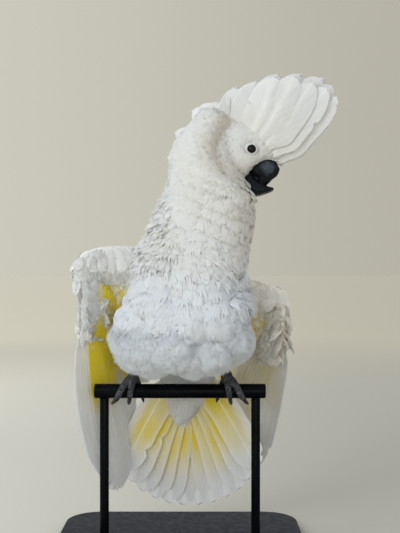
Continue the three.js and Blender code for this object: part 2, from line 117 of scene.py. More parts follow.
DIP = math.radians(34)  # how far the head looks down
TURN = math.radians(82)  # and how far to the bird's left
FORWARD = vec(math.sin(TURN) * math.cos(DIP), -math.cos(TURN) * math.cos(DIP), -math.sin(DIP))
RIGHT = vec(-math.cos(TURN), -math.sin(TURN), 0)
HEAD_UP = np.cross(RIGHT, FORWARD)
BETWEEN_EYES = vec(81.5, -6, 444.7)
EYE_SPREAD = 22.5
EYE_RADIUS = 6.2
CORNEA_BULGE = 0.5


def head(forward, up, right=0.0):
    """A place given from between the eyes, in the head's own directions."""
    return BETWEEN_EYES + FORWARD * forward + HEAD_UP * up + RIGHT * right


def in_head(points):
    """Points as forward, up and right of the place between the eyes."""
    away = np.asarray(points) - BETWEEN_EYES
    return away @ FORWARD, away @ HEAD_UP, away @ RIGHT


# ---------------------------------------------------------------- shader building


class Look:
    """A material and short ways to add and join its nodes."""

    def __init__(self, name, tree=None):
        if tree is None:
            self.material = bpy.data.materials.new(name)
            self.material.use_nodes = True
            tree = self.material.node_tree
            self.shader = tree.nodes["Principled BSDF"]
        self.tree = tree

    def node(self, kind, settings=(), **inputs):
        made = self.tree.nodes.new(kind)
        for key, value in dict(settings).items():
            setattr(made, key, value)
        for key, value in inputs.items():
            socket = made.inputs[int(key[1:])] if key[0] == "_" else made.inputs[key.replace("_", " ")]
            self.feed(socket, value)
        return made

    def feed(self, socket, value):
        if isinstance(value, bpy.types.NodeSocket):
            self.tree.links.new(value, socket)
        else:
            socket.default_value = value

    def math(self, operation, *values):
        made = self.node("ShaderNodeMath", {"operation": operation})
        for socket, value in zip(made.inputs, values):
            self.feed(socket, value)
        return made.outputs[0]

    def blend(self, share, a, b, way="MIX"):
        """Colour a where share is 0 and b where it is 1. Inputs 6 and 7 are a Mix node's colours."""
        made = self.node("ShaderNodeMix", {"data_type": "RGBA", "blend_type": way})
        self.feed(made.inputs[0], share)
        self.feed(made.inputs[6], a)
        self.feed(made.inputs[7], b)
        return made.outputs[2]

    def span(self, value, low, high, to_low=0.0, to_high=1.0):
        """A smooth step from to_low to to_high, where value goes from low to high."""
        made = self.node("ShaderNodeMapRange", {"interpolation_type": "SMOOTHSTEP"})
        for socket, number in zip(made.inputs, (value, low, high, to_low, to_high)):
            self.feed(socket, number)
        return made.outputs[0]

    def noise(self, where, scale, detail=3.0, rough=0.55):
        return self.node(
            "ShaderNodeTexNoise", Vector=where, Scale=scale, Detail=detail, Roughness=rough
        ).outputs["Fac"]

    def place(self):
        """The place on the finished bird, in metres."""
        return self.node("ShaderNodeTexCoord").outputs["Object"]

    def bump(self, height, strength, distance):
        made = self.node("ShaderNodeBump", Strength=strength, Distance=distance, Height=height)
        return made.outputs["Normal"]

    def set(self, **values):
        for key, value in values.items():
            self.feed(self.shader.inputs[key.replace("_", " ")], value)
        return self


def effect(name, takes, gives):
    """A node group with named inputs and outputs, and the nodes at its two ends."""
    tree = bpy.data.node_groups.new(name, "ShaderNodeTree")
    for label, kind, value in takes:
        socket = tree.interface.new_socket(label, in_out="INPUT", socket_type=kind)
        if value is not None:
            socket.default_value = value
    for label, kind in gives:
        tree.interface.new_socket(label, in_out="OUTPUT", socket_type=kind)
    start = tree.nodes.new("NodeGroupInput")
    end = tree.nodes.new("NodeGroupOutput")
    return Look(name, tree), start.outputs, end.inputs


FULL_TURN = 6.283
BARB_CLUMPS = 26.0  # how many clumps of barbs lie along a vane
SHAFT_EDGE = 0.035  # half the shaft's width on the vane map


def barb_effect():
    """Fine barbs that slope from a shaft to both edges, with a few parted places."""
    look, takes, gives = effect(
        "feather_barbs",
        [
            ("Vane", "NodeSocketVector", None),
            ("Count", "NodeSocketFloat", 60.0),
            ("Slope", "NodeSocketFloat", 1.2),
        ],
        [
            ("Height", "NodeSocketFloat"),
            ("Shaft", "NodeSocketFloat"),
            ("Strands", "NodeSocketFloat"),
        ],
    )
    parts = look.node("ShaderNodeSeparateXYZ", Vector=takes["Vane"])
    off = look.math("ABSOLUTE", look.math("SUBTRACT", parts.outputs["X"], 0.5))
    wander = look.noise(takes["Vane"], 9.0, 2.0)
    run = look.math("SUBTRACT", parts.outputs["Y"], look.math("MULTIPLY", off, takes["Slope"]))
    run = look.math("ADD", run, look.math("MULTIPLY", wander, 0.05))
    phase = look.math("MULTIPLY", run, look.math("MULTIPLY", takes["Count"], FULL_TURN))
    ridge = look.math("SINE", phase)
    along = look.math("MULTIPLY", run, BARB_CLUMPS)
    where = look.node("ShaderNodeCombineXYZ", X=along, Y=parts.outputs["X"]).outputs[0]
    clumps = look.noise(where, 1.0, 2.0)
    height = look.math("ADD", look.math("MULTIPLY", ridge, 0.35), clumps)
    look.feed(gives["Height"], height)
    look.feed(gives["Shaft"], look.span(off, 0.0, SHAFT_EDGE, 1.0, 0.0))
    look.feed(gives["Strands"], look.span(clumps, 0.35, 0.65))
    return look.tree


def mottle_effect():
    """Soft blotches at one size, with finer ones inside them."""
    look, takes, gives = effect(
        "soft_mottle",
        [("Place", "NodeSocketVector", None), ("Scale", "NodeSocketFloat", 40.0)],
        [("Broad", "NodeSocketFloat"), ("Fine", "NodeSocketFloat")],
    )
    broad = look.noise(takes["Place"], takes["Scale"], 2.0)
    fine = look.noise(takes["Place"], look.math("MULTIPLY", takes["Scale"], 7.0), 4.0, 0.65)
    look.feed(gives["Broad"], look.span(broad, 0.35, 0.65))
    look.feed(gives["Fine"], look.span(fine, 0.3, 0.7))
    return look.tree


BARBS = barb_effect()
MOTTLE = mottle_effect()


def grouped(look, tree, **inputs):
    """The outputs of one of the effects, placed in a material with its own values."""
    made = look.node("ShaderNodeGroup", {"node_tree": tree})
    for key, value in inputs.items():
        look.feed(made.inputs[key], value)
    return made.outputs


def plumage(name, count, slope, shaft, depth, through):
    """White feather: the piece's own tint, barbs from its vane map, and a soft sheen."""
    look = Look(name)
    tint = look.node("ShaderNodeAttribute", {"attribute_name": "tint"}).outputs["Color"]
    vane = look.node("ShaderNodeUVMap", {"uv_map": "vane"}).outputs["UV"]
    barbs = grouped(look, BARBS, Vane=vane, Count=count, Slope=slope)
    blotch = grouped(look, MOTTLE, Place=look.place(), Scale=45.0)
    shade = look.math("MULTIPLY", barbs["Strands"], 0.35)
    colour = look.blend(shade, tint, (0.86, 0.855, 0.84, 1), "MULTIPLY")
    soil = look.math("MULTIPLY", blotch["Broad"], 0.25)
    colour = look.blend(soil, colour, (0.95, 0.93, 0.9, 1), "MULTIPLY")
    colour = look.blend(look.math("MULTIPLY", barbs["Shaft"], shaft), colour, (0.93, 0.90, 0.82, 1))
    rough = look.span(blotch["Fine"], 0.0, 1.0, 0.68, 0.86)
    look.set(Base_Color=colour, Roughness=rough, Normal=look.bump(barbs["Height"], 0.35, depth))
    look.set(Sheen_Weight=0.12, Sheen_Roughness=0.5, Specular_IOR_Level=0.3)
    look.set(Subsurface_Weight=through, Subsurface_Scale=0.006, Subsurface_Radius=(1.0, 0.97, 0.94))
    return look.material


def skin_look():
    """Skin with fine down on it, in the colours of the coat above it."""
    look = Look("pale_skin")
    tint = look.node("ShaderNodeAttribute", {"attribute_name": "tint"}).outputs["Color"]
    blotch = grouped(look, MOTTLE, Place=look.place(), Scale=120.0)
    colour = look.blend(look.math("MULTIPLY", blotch["Fine"], 0.3), tint, (0.86, 0.80, 0.75, 1), "MULTIPLY")
    look.set(Base_Color=colour, Roughness=0.85, Normal=look.bump(blotch["Fine"], 0.4, 0.0004))
    look.set(Specular_IOR_Level=0.25, Subsurface_Weight=0.2, Subsurface_Scale=0.004)
    look.set(Subsurface_Radius=(1.0, 0.95, 0.9))
    return look.material


def lid_look():
    """Bare grey-white skin round the eye."""
    look = Look("bare_eye_skin")
    blotch = grouped(look, MOTTLE, Place=look.place(), Scale=600.0)
    colour = look.blend(blotch["Fine"], (0.50, 0.50, 0.49, 1), (0.72, 0.72, 0.70, 1))
    look.set(Base_Color=colour, Roughness=0.55, Normal=look.bump(blotch["Fine"], 0.3, 0.0002))
    look.set(Subsurface_Weight=0.2, Subsurface_Scale=0.002, Subsurface_Radius=(1.0, 0.6, 0.5))
    return look.material


PUPIL_EDGE = (2.0, 2.3)  # where pupil turns to iris, in millimetres from the eye's middle line
IRIS_EDGE = (3.7, 4.4)


def eye_look():
    """A dark eye: near-black brown iris round a black pupil, under a wet surface."""
    look = Look("dark_eye")
    centre = head(0, 0, 0) * MM
    away = look.node("ShaderNodeVectorMath", {"operation": "SUBTRACT"})
    look.feed(away.inputs[0], look.place())
    away.inputs[1].default_value = centre
    aside = look.node("ShaderNodeVectorMath", {"operation": "CROSS_PRODUCT"})
    look.feed(aside.inputs[0], away.outputs[0])
    aside.inputs[1].default_value = RIGHT
    off = look.node("ShaderNodeVectorMath", {"operation": "LENGTH"})
    look.feed(off.inputs[0], aside.outputs[0])
    reach = look.math("MULTIPLY", off.outputs["Value"], 1 / MM)
    streak = look.noise(aside.outputs[0], 1500.0, 4.0)
    iris = look.blend(streak, (0.002, 0.0015, 0.001, 1), (0.006, 0.004, 0.003, 1))
    colour = look.blend(look.span(reach, *PUPIL_EDGE), (0.002, 0.002, 0.002, 1), iris)
    colour = look.blend(look.span(reach, *IRIS_EDGE), colour, (0.006, 0.005, 0.005, 1))
    look.set(Base_Color=colour, Roughness=0.06, Specular_IOR_Level=0.2)
    return look.material


# the middle of a scratched patch on the upper bill, partly wear and partly a painted sheen
WEAR_AND_SHEEN_PATCH = head(23, -6, 9) * MM


def bill_look():
    """Near-black horn, growth lines, grey-blue powder bloom and a patch near its root of wear and painted
    sheen.
    """
    look = Look("bill_horn")
    where = look.place()
    blotch = grouped(look, MOTTLE, Place=where, Scale=70.0)
    scratched = look.node("ShaderNodeMapping", Vector=where, Scale=(1.0, 1.0, 0.18))
    lines = look.noise(scratched.outputs[0], 900.0, 4.0, 0.75)
    colour = look.blend(blotch["Fine"], (0.003, 0.003, 0.004, 1), (0.008, 0.009, 0.011, 1))
    far = look.node("ShaderNodeVectorMath", {"operation": "DISTANCE"})
    look.feed(far.inputs[0], where)
    far.inputs[1].default_value = WEAR_AND_SHEEN_PATCH
    uneven = look.math("MULTIPLY", look.noise(where, 260.0), 0.010)
    ragged = look.math("ADD", far.outputs["Value"], uneven)
    wear_and_sheen = look.span(ragged, 0.009, 0.016, 1.0, 0.0)
    powder = look.math("MULTIPLY", blotch["Broad"], look.math("MULTIPLY", lines, 0.12))
    scuffs_and_sheen = look.math("MULTIPLY", wear_and_sheen, look.span(lines, 0.3, 0.7, 0.45, 0.9))
    powder = look.math("MAXIMUM", powder, scuffs_and_sheen)
    colour = look.blend(powder, colour, (0.07, 0.085, 0.11, 1))
    rough = look.span(powder, 0.0, 0.6, 0.2, 0.42)
    look.set(Base_Color=colour, Roughness=rough, Normal=look.bump(lines, 0.25, 0.0003))
    look.set(Specular_IOR_Level=0.12)
    return look.material


def foot_look():
    """Dark blue-grey scaly skin, paler and dusty on the tops of the scales."""
    look = Look("foot_scales")
    where = look.place()
    cells = look.node(
        "ShaderNodeTexVoronoi", {"feature": "DISTANCE_TO_EDGE"}, Vector=where, Scale=520.0, Randomness=0.85
    )
    top = look.span(cells.outputs["Distance"], 0.02, 0.22)
    blotch = grouped(look, MOTTLE, Place=where, Scale=150.0)
    colour = look.blend(top, (0.008, 0.008, 0.010, 1), (0.060, 0.065, 0.074, 1))
    dust = look.math("MULTIPLY", look.math("MULTIPLY", top, blotch["Broad"]), 0.5)
    colour = look.blend(dust, colour, (0.20, 0.205, 0.215, 1))
    look.set(Base_Color=colour, Roughness=look.span(top, 0.0, 1.0, 0.8, 0.58))
    look.set(Normal=look.bump(top, 0.7, 0.0006), Specular_IOR_Level=0.4)
    return look.material


def claw_look():
    """Dark horn, streaked paler."""
    look = Look("claw_horn")
    where = look.place()
    blotch = grouped(look, MOTTLE, Place=where, Scale=300.0)
    colour = look.blend(blotch["Fine"], (0.008, 0.008, 0.009, 1), (0.045, 0.043, 0.042, 1))
    look.set(Base_Color=colour, Roughness=look.span(blotch["Fine"], 0.0, 1.0, 0.28, 0.5))
    look.set(Normal=look.bump(blotch["Fine"], 0.2, 0.0002))
    return look.material


def paint_look():
    """Black semi-gloss paint on steel: slight orange peel, dust and fine rubbing marks."""
    look = Look("black_paint")
    where = look.place()
    blotch = grouped(look, MOTTLE, Place=where, Scale=22.0)
    peel = look.noise(where, 700.0, 2.0)
    rubbed = look.span(look.noise(where, 160.0, 6.0, 0.8), 0.6, 0.72)
    colour = look.blend(blotch["Broad"], (0.001, 0.0013, 0.002, 1), (0.003, 0.0035, 0.0045, 1))
    colour = look.blend(look.math("MULTIPLY", rubbed, 0.3), colour, (0.03, 0.032, 0.036, 1))
    dusty = look.span(blotch["Fine"], 0.0, 1.0, 0.24, 0.38)
    rough = look.math("ADD", dusty, look.math("MULTIPLY", rubbed, 0.2))
    look.set(Base_Color=colour, Roughness=rough, Normal=look.bump(peel, 0.08, 0.0004))
    look.set(Specular_IOR_Level=0.05)
    return look.material


# for plumage: barbs along a vane, their slope, how much the shaft shows, the barbs' depth in
# metres, and how much light comes through
LOOKS = {
    "contour": plumage("contour_plumage", 16.0, 0.9, 0.0, 0.0003, 0.2),
    "vane": plumage("flight_plumage", 70.0, 0.5, 0.7, 0.0004, 0.2),
    "crest": plumage("crest_plumage", 46.0, 0.7, 0.35, 0.0006, 0.25),
    "skin": skin_look(),
    "lid": lid_look(),
    "eye": eye_look(),
    "bill": bill_look(),
    "foot": foot_look(),
    "claw": claw_look(),
    "paint": paint_look(),
}


# ---------------------------------------------------------------- making and finishing pieces


def alone(*objects):
    """Selects these objects and nothing else."""
    bpy.ops.object.select_all(action="DESELECT")
    for one in objects:
        one.select_set(True)
    bpy.context.view_layer.objects.active = objects[0]


def finished(piece, kind, **settings):
    """The piece with one more modifier, applied."""
    alone(piece)
    modifier = piece.modifiers.new(kind.lower(), kind)
    for key, value in settings.items():
        setattr(modifier, key, value)
    bpy.ops.object.modifier_apply(modifier=modifier.name)
    return piece


def mesh_of(name, points, faces):
    mesh = bpy.data.meshes.new(name)
    mesh.from_pydata((np.asarray(points) * MM).tolist(), [], faces)
    mesh.update()
    made = bpy.data.objects.new(name, mesh)
    bpy.context.scene.collection.objects.link(made)
    return made


def points_of(piece):
    """A piece's points in millimetres."""
    found = np.empty(len(piece.data.vertices) * 3)
    piece.data.vertices.foreach_get("co", found)
    return found.reshape(-1, 3) / MM


def normals_of(piece):
    found = np.empty(len(piece.data.vertices) * 3, np.float32)
    piece.data.vertex_normals.foreach_get("vector", found)
    return found.reshape(-1, 3).astype(float)


def put_points(piece, points):
    piece.data.vertices.foreach_set("co", (points * MM).ravel())
    piece.data.update()


def copy_of(node, name):
    """A CAD node's shape as a new object, its loose triangles merged."""
    mesh = frame["nodes"][node].data.copy()
    mesh.materials.clear()
    made = bpy.data.objects.new(name, mesh)
    bpy.context.scene.collection.objects.link(made)
    return outwards(made, merge=True)


def swollen(piece, reach):
    """The piece, grown by reach along its normals."""
    put_points(piece, points_of(piece) + normals_of(piece) * reach)
    return piece


def smooth_shaded(piece):
    piece.data.shade_smooth()
    return piece


def placed(piece, look, slot, *nodes):
    """Gives a piece its look, fixes it to the bird and hides the CAD nodes that it stands for. slot is not
    used.
    """
    piece.data.materials.clear()
    piece.data.materials.append(LOOKS[look])
    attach(piece, "root")
    if nodes:
        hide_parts(*nodes)
    return piece


def outwards(piece, merge=False):
    """The piece with its faces turned to point out, and doubled points merged first if asked."""
    alone(piece)
    bpy.ops.object.mode_set(mode="EDIT")
    bpy.ops.mesh.select_all(action="SELECT")
    if merge:
        bpy.ops.mesh.remove_doubles(threshold=0.00002)
    bpy.ops.mesh.normals_make_consistent(inside=False)
    bpy.ops.object.mode_set(mode="OBJECT")
    return piece


def ring(centre, across, over, left, top, sides, power=2.0):
    """Points round an oval with half axes left and top. A power above 2 makes it squarer."""
    angle = np.arange(sides) * 2 * math.pi / sides
    c, s = np.cos(angle), np.sin(angle)
    x = np.sign(c) * np.abs(c) ** (2 / power) * left
    y = np.sign(s) * np.abs(s) ** (2 / power) * top
    return centre + np.outer(x, across) + np.outer(y, over)


def lofted(name, rings):
    """A closed shell through rings of points, each end closed by a fan."""
    rings = np.array(rings)
    count, sides = rings.shape[:2]
    ends = [rings[0].mean(0)[None], rings[-1].mean(0)[None]]
    points = np.concatenate([rings.reshape(-1, 3)] + ends)
    first_end = count * sides
    faces = []
    for i in range(sides):
        j = (i + 1) % sides
        for k in range(count - 1):
            faces.append((k * sides + i, k * sides + j, (k + 1) * sides + j, (k + 1) * sides + i))
        faces.append((j, i, first_end))
        last = (count - 1) * sides
        faces.append((last + i, last + j, first_end + 1))
    return outwards(mesh_of(name, points, faces))


PAD_SIDES = 16
PAD_SQUARENESS = 2.3


def wing_pad(name, sections):
    """The fleshy part of a wing: oval sections from a leading to a trailing edge."""
    lead = np.array([s[0] for s in sections], float)
    trail = np.array([s[1] for s in sections], float)
    middle = (lead + trail) / 2
    rings = []
    for i, section in enumerate(sections):
        across = trail[i] - lead[i]
        run = middle[min(i + 1, len(sections) - 1)] - middle[max(i - 1, 0)]
        over = unit(np.cross(across, run))
        half = np.linalg.norm(across) / 2
        oval = ring(middle[i], unit(across), over, half, section[2], PAD_SIDES, PAD_SQUARENESS)
        rings.append(oval)
    return lofted(name, rings)


def limb(name, points, radii, flat, up, steps=10, sides=16):
    """A tube through points with a radius at each, smoothed in between."""
    rings = []
    for i in range(steps + 1):
        t = i / steps
        way = unit(along_curve(points, min(t + 0.01, 1)) - along_curve(points, max(t - 0.01, 0)))
        across = unit(np.cross(way, up))
        over = np.cross(across, way)
        radius = np.interp(t * (len(radii) - 1), range(len(radii)), radii)
        rings.append(ring(along_curve(points, t), across, over, radius, radius * flat, sides))
    return lofted(name, rings)


# ---------------------------------------------------------------- wings, tail and crest: their lines

# each wing: its joints, the tips of its flight feathers from the leading one inwards, its arm and
# hand as sections (leading edge, trailing edge, half thickness), the ways the feathers' inner
# edges face, how the leading feathers bow, and the sign that makes the underside the first side
WINGS = {
    "right": {
        "elbow": (-62, 50, 288),
        "wrist": (-104, -2, 324),
        "hand": (-102, 4, 262),
        "tips": (
            (-90, 22, 86), (-77, 34, 61), (-65, 52, 66), (-59, 66, 110),
            (-58, 74, 158), (-52, 80, 176), (-40, 84, 178),
        ),
        "arm_pad": (
            ((-24, 18, 343), (-30, 36, 268), 10),
            ((-44, 18, 346), (-50, 48, 254), 12),
            ((-66, 10, 347), (-70, 44, 264), 11),
            ((-90, 0, 345), (-90, 24, 286), 10),
            ((-107, -6, 339), (-106, 6, 302), 7),
            ((-114, -8, 328), (-113, -2, 312), 3),
        ),
        "hand_pad": (
            ((-110, -8, 336), (-100, 4, 338), 5),
            ((-117, -9, 322), (-93, 12, 318), 8),
            ((-116, -9, 290), (-84, 22, 288), 8),
            ((-115, -6, 258), (-80, 30, 256), 6),
            ((-114, 0, 230), (-84, 32, 228), 2.5),
        ),
        "hand_chord": (0.8, 0.6, 0),
        "arm_chord": (0.62, 0.78, 0),
        "bow": (-14, -8, 0),
        "under": 1,
    },
    "left": {
        "elbow": (86, 58, 262),
        "wrist": (114, 2, 291),
        "hand": (113, 16, 234),
        "tips": (
            (106, 104, 146), (101, 128, 84), (88, 134, 62), (76, 134, 68),
            (68, 126, 104), (64, 112, 142), (56, 102, 160), (44, 96, 164),
        ),
        "arm_pad": (
            ((56, 20, 308), (52, 36, 248), 10),
            ((72, 16, 308), (66, 50, 234), 12),
            ((92, 10, 306), (84, 54, 232), 11),
            ((110, 4, 299), (102, 36, 246), 10),
            ((121, 2, 288), (118, 12, 262), 7),
            ((126, 1, 281), (124, 4, 270), 3),
        ),
        "hand_pad": (
            ((120, -1, 294), (108, 12, 292), 5),
            ((126.5, 0.5, 282), (102, 25, 278), 8.5),
            ((127, 6, 254), (97, 36, 250), 8),
            ((125, 15, 230), (92, 47, 227), 6),
            ((116, 27, 207), (91, 56, 208), 3),
        ),
        "hand_chord": (-0.75, 0.66, 0.1),
        "arm_chord": (-0.6, 0.8, 0),
        "bow": (5, -6, 0),
        "under": -1,
    },
}
PRIMARIES = 10
SECONDARIES = 9
FLIGHT_FEATHERS = PRIMARIES + SECONDARIES
ROOTS_ON_HAND = 0.72  # how much of the way from hand to wrist the primaries' roots take up
ARM_ROOT_DROP = vec(0, 0, 12)  # how far below the line of the arm the secondaries root

# the middle line of the down over the tail's root, and of the crown's feathers, with radii
RUMP = ((6, 28, 252), (7, 44, 216), (6, 54, 180), (0, 61, 152), (-3, 66, 134))
RUMP_RADII = (44, 38, 27, 18, 7)
CROWN = (head(33, 9), head(22, 20), head(4, 28), head(-16, 29), head(-33, 24))
CROWN_RADII = (6, 10, 14, 13, 7)


class Quill:
    """The line of a large feather's shaft, with the ways its first side and its inner edge face."""

    def __init__(self, root, tip, bow, face, chord):
        self.root, self.tip = np.asarray(root, float), np.asarray(tip, float)
        self.middle = (self.root + self.tip) / 2 + 2 * np.asarray(bow, float)
        self.face, self.chord = unit(np.asarray(face, float)), np.asarray(chord, float)

    def at(self, t):
        """Points on the shaft, t from 0 at the root to 1 at the tip."""
        t = np.asarray(t, float)[:, None]
        return self.root * (1 - t) ** 2 + 2 * self.middle * t * (1 - t) + self.tip * t**2

    def frames(self, t):
        """Ways along, across to the inner edge, and out of the first side, at each t."""
        t = np.asarray(t, float)[:, None]
        run = unit(2 * (1 - t) * (self.middle - self.root) + 2 * t * (self.tip - self.middle))
        across = unit(self.chord - run * (run @ self.chord)[:, None])
        over = np.cross(run, across)
        return run, across, over * np.sign(over @ self.face)[:, None]


def flight_quill(wing, place):
    """Flight feather number place, counted inwards from the leading primary."""
    elbow, wrist, hand = (vec(*wing[key]) for key in ("elbow", "wrist", "hand"))
    if place < PRIMARIES:
        root = mix(hand, wrist, place / (PRIMARIES - 1) * ROOTS_ON_HAND)
    else:
        inwards = (place - PRIMARIES) / (SECONDARIES - 1)
        root = mix(wrist, elbow, 0.1 + 0.9 * inwards) - ARM_ROOT_DROP
    share = place / (FLIGHT_FEATHERS - 1)
    tip = along_curve(wing["tips"], share)
    turn = ease(share, 0.2, 0.6)
    chord = unit(mix(vec(*wing["hand_chord"]), vec(*wing["arm_chord"]), turn))
    face = np.cross(unit(tip - root), chord) * wing["under"]
    return Quill(root, tip, vec(*wing["bow"]) * (1 - share) ** 2, face, chord)


TAIL_VANES = 12
TAIL_ROOT = vec(8, 50, 196)
TAIL_ROOT_HALF = 12  # half the width over which the feathers root
TAIL_LENGTH = 168
TAIL_SHORTER = 0.2  # how much shorter the outer feathers are
TAIL_FAN = math.radians(29)
TAIL_ASIDE = 0.02  # how far the fan as a whole is turned to the bird's left
TAIL_LEAN = math.radians(10)
TAIL_CURVE = 0.1  # how far the outer feathers lean forward
TAIL_TILT = 0.4  # and how far their backs turn outwards


def tail_quill(i):
    """Tail feather number i, from the bird's right to its left, with k from -1 to 1."""
    k = 2 * i / (TAIL_VANES - 1) - 1
    angle = k * TAIL_FAN + TAIL_ASIDE
    back = math.sin(TAIL_LEAN) - TAIL_CURVE * k * k
    way = unit(vec(math.sin(angle), back, -math.cos(angle) * math.cos(TAIL_LEAN)))
    root = TAIL_ROOT + vec(k * TAIL_ROOT_HALF, (1 - abs(k)) * 3, 0)
    tip = root + way * TAIL_LENGTH * (1 - TAIL_SHORTER * k * k)
    inwards = (-math.copysign(1, k), 0, 0)
    return Quill(root, tip, (k * 4, 0, 0), (k * TAIL_TILT, 1, 0), inwards)


# lines along the crest from the forehead back, in the head's frame: the roots of the middle
# feathers and the tips as forward and up, the roots of the side feathers as forward, up and aside
CREST_ROOTS = ((29, 8), (18, 18), (2, 25), (-15, 26), (-29, 22))
CREST_SIDES = ((29.5, 7, 8), (15, 9, 19), (0, 13, 22), (-15, 13, 21), (-30, 12, 15))
CREST_TIPS = ((47, 96), (31, 109), (-2, 102), (-30, 76), (-55, 48))
CREST_HALF_WIDTH = 27
CREST_SIDE_TURN = math.radians(88)  # how far the outermost feathers' faces turn to the side


def crest_quill(k, across, jitter):
    """A feather of the crest: k from the forehead back, across from the bird's left to its right."""
    root, tip = along_curve(CREST_ROOTS, k), along_curve(CREST_TIPS, k)
    aside = abs(across)
    turn = -math.copysign(aside**0.6, across) * CREST_SIDE_TURN
    c, s = math.cos(turn), math.sin(turn)
    face = FORWARD * c + np.cross(HEAD_UP, FORWARD) * s
    chord = RIGHT * c + np.cross(HEAD_UP, RIGHT) * s
    low = mix(np.append(root - vec(0, 5), 0), along_curve(CREST_SIDES, k) - vec(0, 3, 2), aside)
    start = head(low[0], low[1], math.copysign(low[2], across))
    behind = ease(k, 0.0, 0.3)
    tip = root + (tip - root) * (1 - 0.15 * behind * aside**2)
    fullness = math.sin(math.pi * mix(0.22, 0.8, k))
    forward = tip[0] - mix(3 + (1 - aside) * 5, aside * 5, behind) + jitter[0]
    end = head(forward, tip[1] + jitter[1], across * CREST_HALF_WIDTH * fullness + jitter[2])
    bulge = mix(-1, 4, k)
    bow = head(bulge, -bulge * 0.2, across * 3) - head(0, 0)
    return Quill(start, end, bow, face, chord)


# ---------------------------------------------------------------- colours of skin and coat

WHITE = vec(0.86, 0.865, 0.86)
COOL_LIGHT = vec(0.82, 0.85, 0.885)
CREAM = vec(0.84, 0.80, 0.71)
# a tan-grey painted shade, for the face, the throat and the left wing's coverts
PAINTED_SHADE = vec(0.66, 0.58, 0.46)
YELLOW = vec(0.93, 0.72, 0.03)
FACE_MIDDLE = 2  # how far below the eye the middle of the face lies


def face_shade(points, forward, up, near_mouth):
    """Where painted shade darkens the coat: in the hollow behind the face, by the mouth and on the throat.
    """
    off = np.hypot(forward, up + FACE_MIDDLE)
    on_head = ease(points[:, 2], 400, 430)
    hollow = np.exp(-(((off - 30) / 7) ** 2)) * ease(-forward, -5, 15) * on_head
    shade = np.clip(hollow + near_mouth * 0.4, 0, 1)
    throat = ease(points[:, 0], 52, 82) * ease(points[:, 2], 325, 350) * ease(points[:, 2], 412, 395)
    return np.clip(shade * 0.65 + throat * 0.45, 0, 1)


def wing_yellow(points):
    """Where the small feathers under the wings are yellow, in front of the fold of each wing."""
    x, y, z = points.T
    fold = mix(10, 44, (347 - z) / 83)
    right = ease(z, 318, 304) * ease(fold - y, -4, 4)
    right = np.maximum(right, ease(z, 274, 262) * ease(y, 34, 26))
    right *= ease(x + 71 + (302 - z) * 0.5, -4, 5) * ease(x, -103, -97) * ease(x, -38, -48)
    fold = mix(16, 46, (306 - z) / 66)
    left = ease(x, 92, 80) * ease(x, 50, 60) * ease(z, 292, 276) * ease(fold - y, -4, 4)
    return np.clip(right + left, 0, 1)


def markings(points, wing):
    """The colour of the coat, and of the skin under it, at places on the body. wing is 1 on a wing."""
    forward, up, _ = in_head(points)
    colour = np.tile(WHITE, (len(points), 1))
    warm = 0.35 + 0.25 * waves(points, 60, 3)
    warm += 0.1 * ease(points[:, 2], 400, 430)
    near_mouth = np.exp(-(((forward - 6) / 12) ** 2) - ((up + 26) / 10) ** 2)
    warm += 0.8 * near_mouth
    colour = mix(colour, CREAM, np.clip(warm, 0, 1)[:, None] * 0.55)
    # painted cool light from the window, bluish on the breast and belly
    cool = ease(points[:, 2], 350, 305) * ease(points[:, 1], 45, 20) * (1 - wing)
    colour = mix(colour, COOL_LIGHT, cool[:, None])
    colour = mix(colour, PAINTED_SHADE, face_shade(points, forward, up, near_mouth)[:, None])
    # the left wing lies on the side away from the window: painted shade in cream
    far_wing_shade = wing * ease(points[:, 0], 40, 60)
    colour = mix(colour, CREAM, far_wing_shade[:, None] * 0.8)
    patchy = 0.75 + 0.25 * waves(points, 30, 17)
    return mix(colour, YELLOW, (wing_yellow(points) * patchy * wing)[:, None])


def paint_tint(piece, colours):
    """Gives each point of a piece its colour, which the feather and skin materials read."""
    layer = piece.data.attributes.new("tint", "FLOAT_COLOR", "POINT")
    full = np.ones((len(colours), 4), np.float32)
    full[:, :3] = colours
    layer.data.foreach_set("color", full.ravel())


# ---------------------------------------------------------------- the skin

# each part of the body: how deep its coat is, and its feathers' length, width, spacing, how far
# their tips stand off, how far they stray from the lie, and how much their strands fan out
DEPTH, LENGTH, WIDTH, SPACING, LIFT, STRAY, FAN = range(7)
COAT = {
    "trunk": (6.0, 38.0, 15.0, 6.2, 0.6, 11.0, 1.05),
    "neck": (5.0, 30.0, 15.0, 5.4, 0.6, 10.0, 1.0),
    "head": (3.2, 15.0, 8.0, 3.4, 0.25, 6.0, 1.0),
    "thigh_right": (5.0, 15.0, 11.0, 4.9, 3.0, 38.0, 1.5),
    "thigh_left": (5.0, 15.0, 11.0, 4.9, 3.0, 38.0, 1.5),
    "arm_right": (3.6, 20.0, 10.0, 5.4, 3.8, 24.0, 1.0),
    "arm_left": (3.6, 22.0, 11.0, 5.6, 4.6, 24.0, 1.0),
    "hand_right": (2.4, 26.0, 13.0, 6.0, 1.4, 8.0, 1.0),
    "hand_left": (2.4, 25.0, 12.0, 5.2, 3.8, 20.0, 1.0),
    "rump": (4.0, 24.0, 12.0, 5.4, 3.6, 24.0, 1.3),
    "crown": (3.0, 16.0, 8.0, 3.6, 1.4, 10.0, 1.1),
}
PARTS = list(COAT)
WING_AREAS = ("arm_right", "hand_right", "arm_left", "hand_left")
# and the same for the places where the coat isn't like the rest of its part's
FACE_COAT = vec(1.5, 9.0, 5.0, 2.3, 0.03, 4.0, 1.0)
NAPE_COAT = vec(4.5, 24.0, 13.0, 5.2, 0.8, 12.0, 1.0)
SHAWL_COAT = vec(5.5, 38.0, 15.0, 6.8, 6.5, 12.0, 0.85)
MANE_COAT = vec(5.0, 30.0, 12.0, 5.6, 5.0, 14.0, 0.9)
BELLY_COAT = vec(7.0, 15.0, 12.0, 4.9, 3.0, 42.0, 1.6)
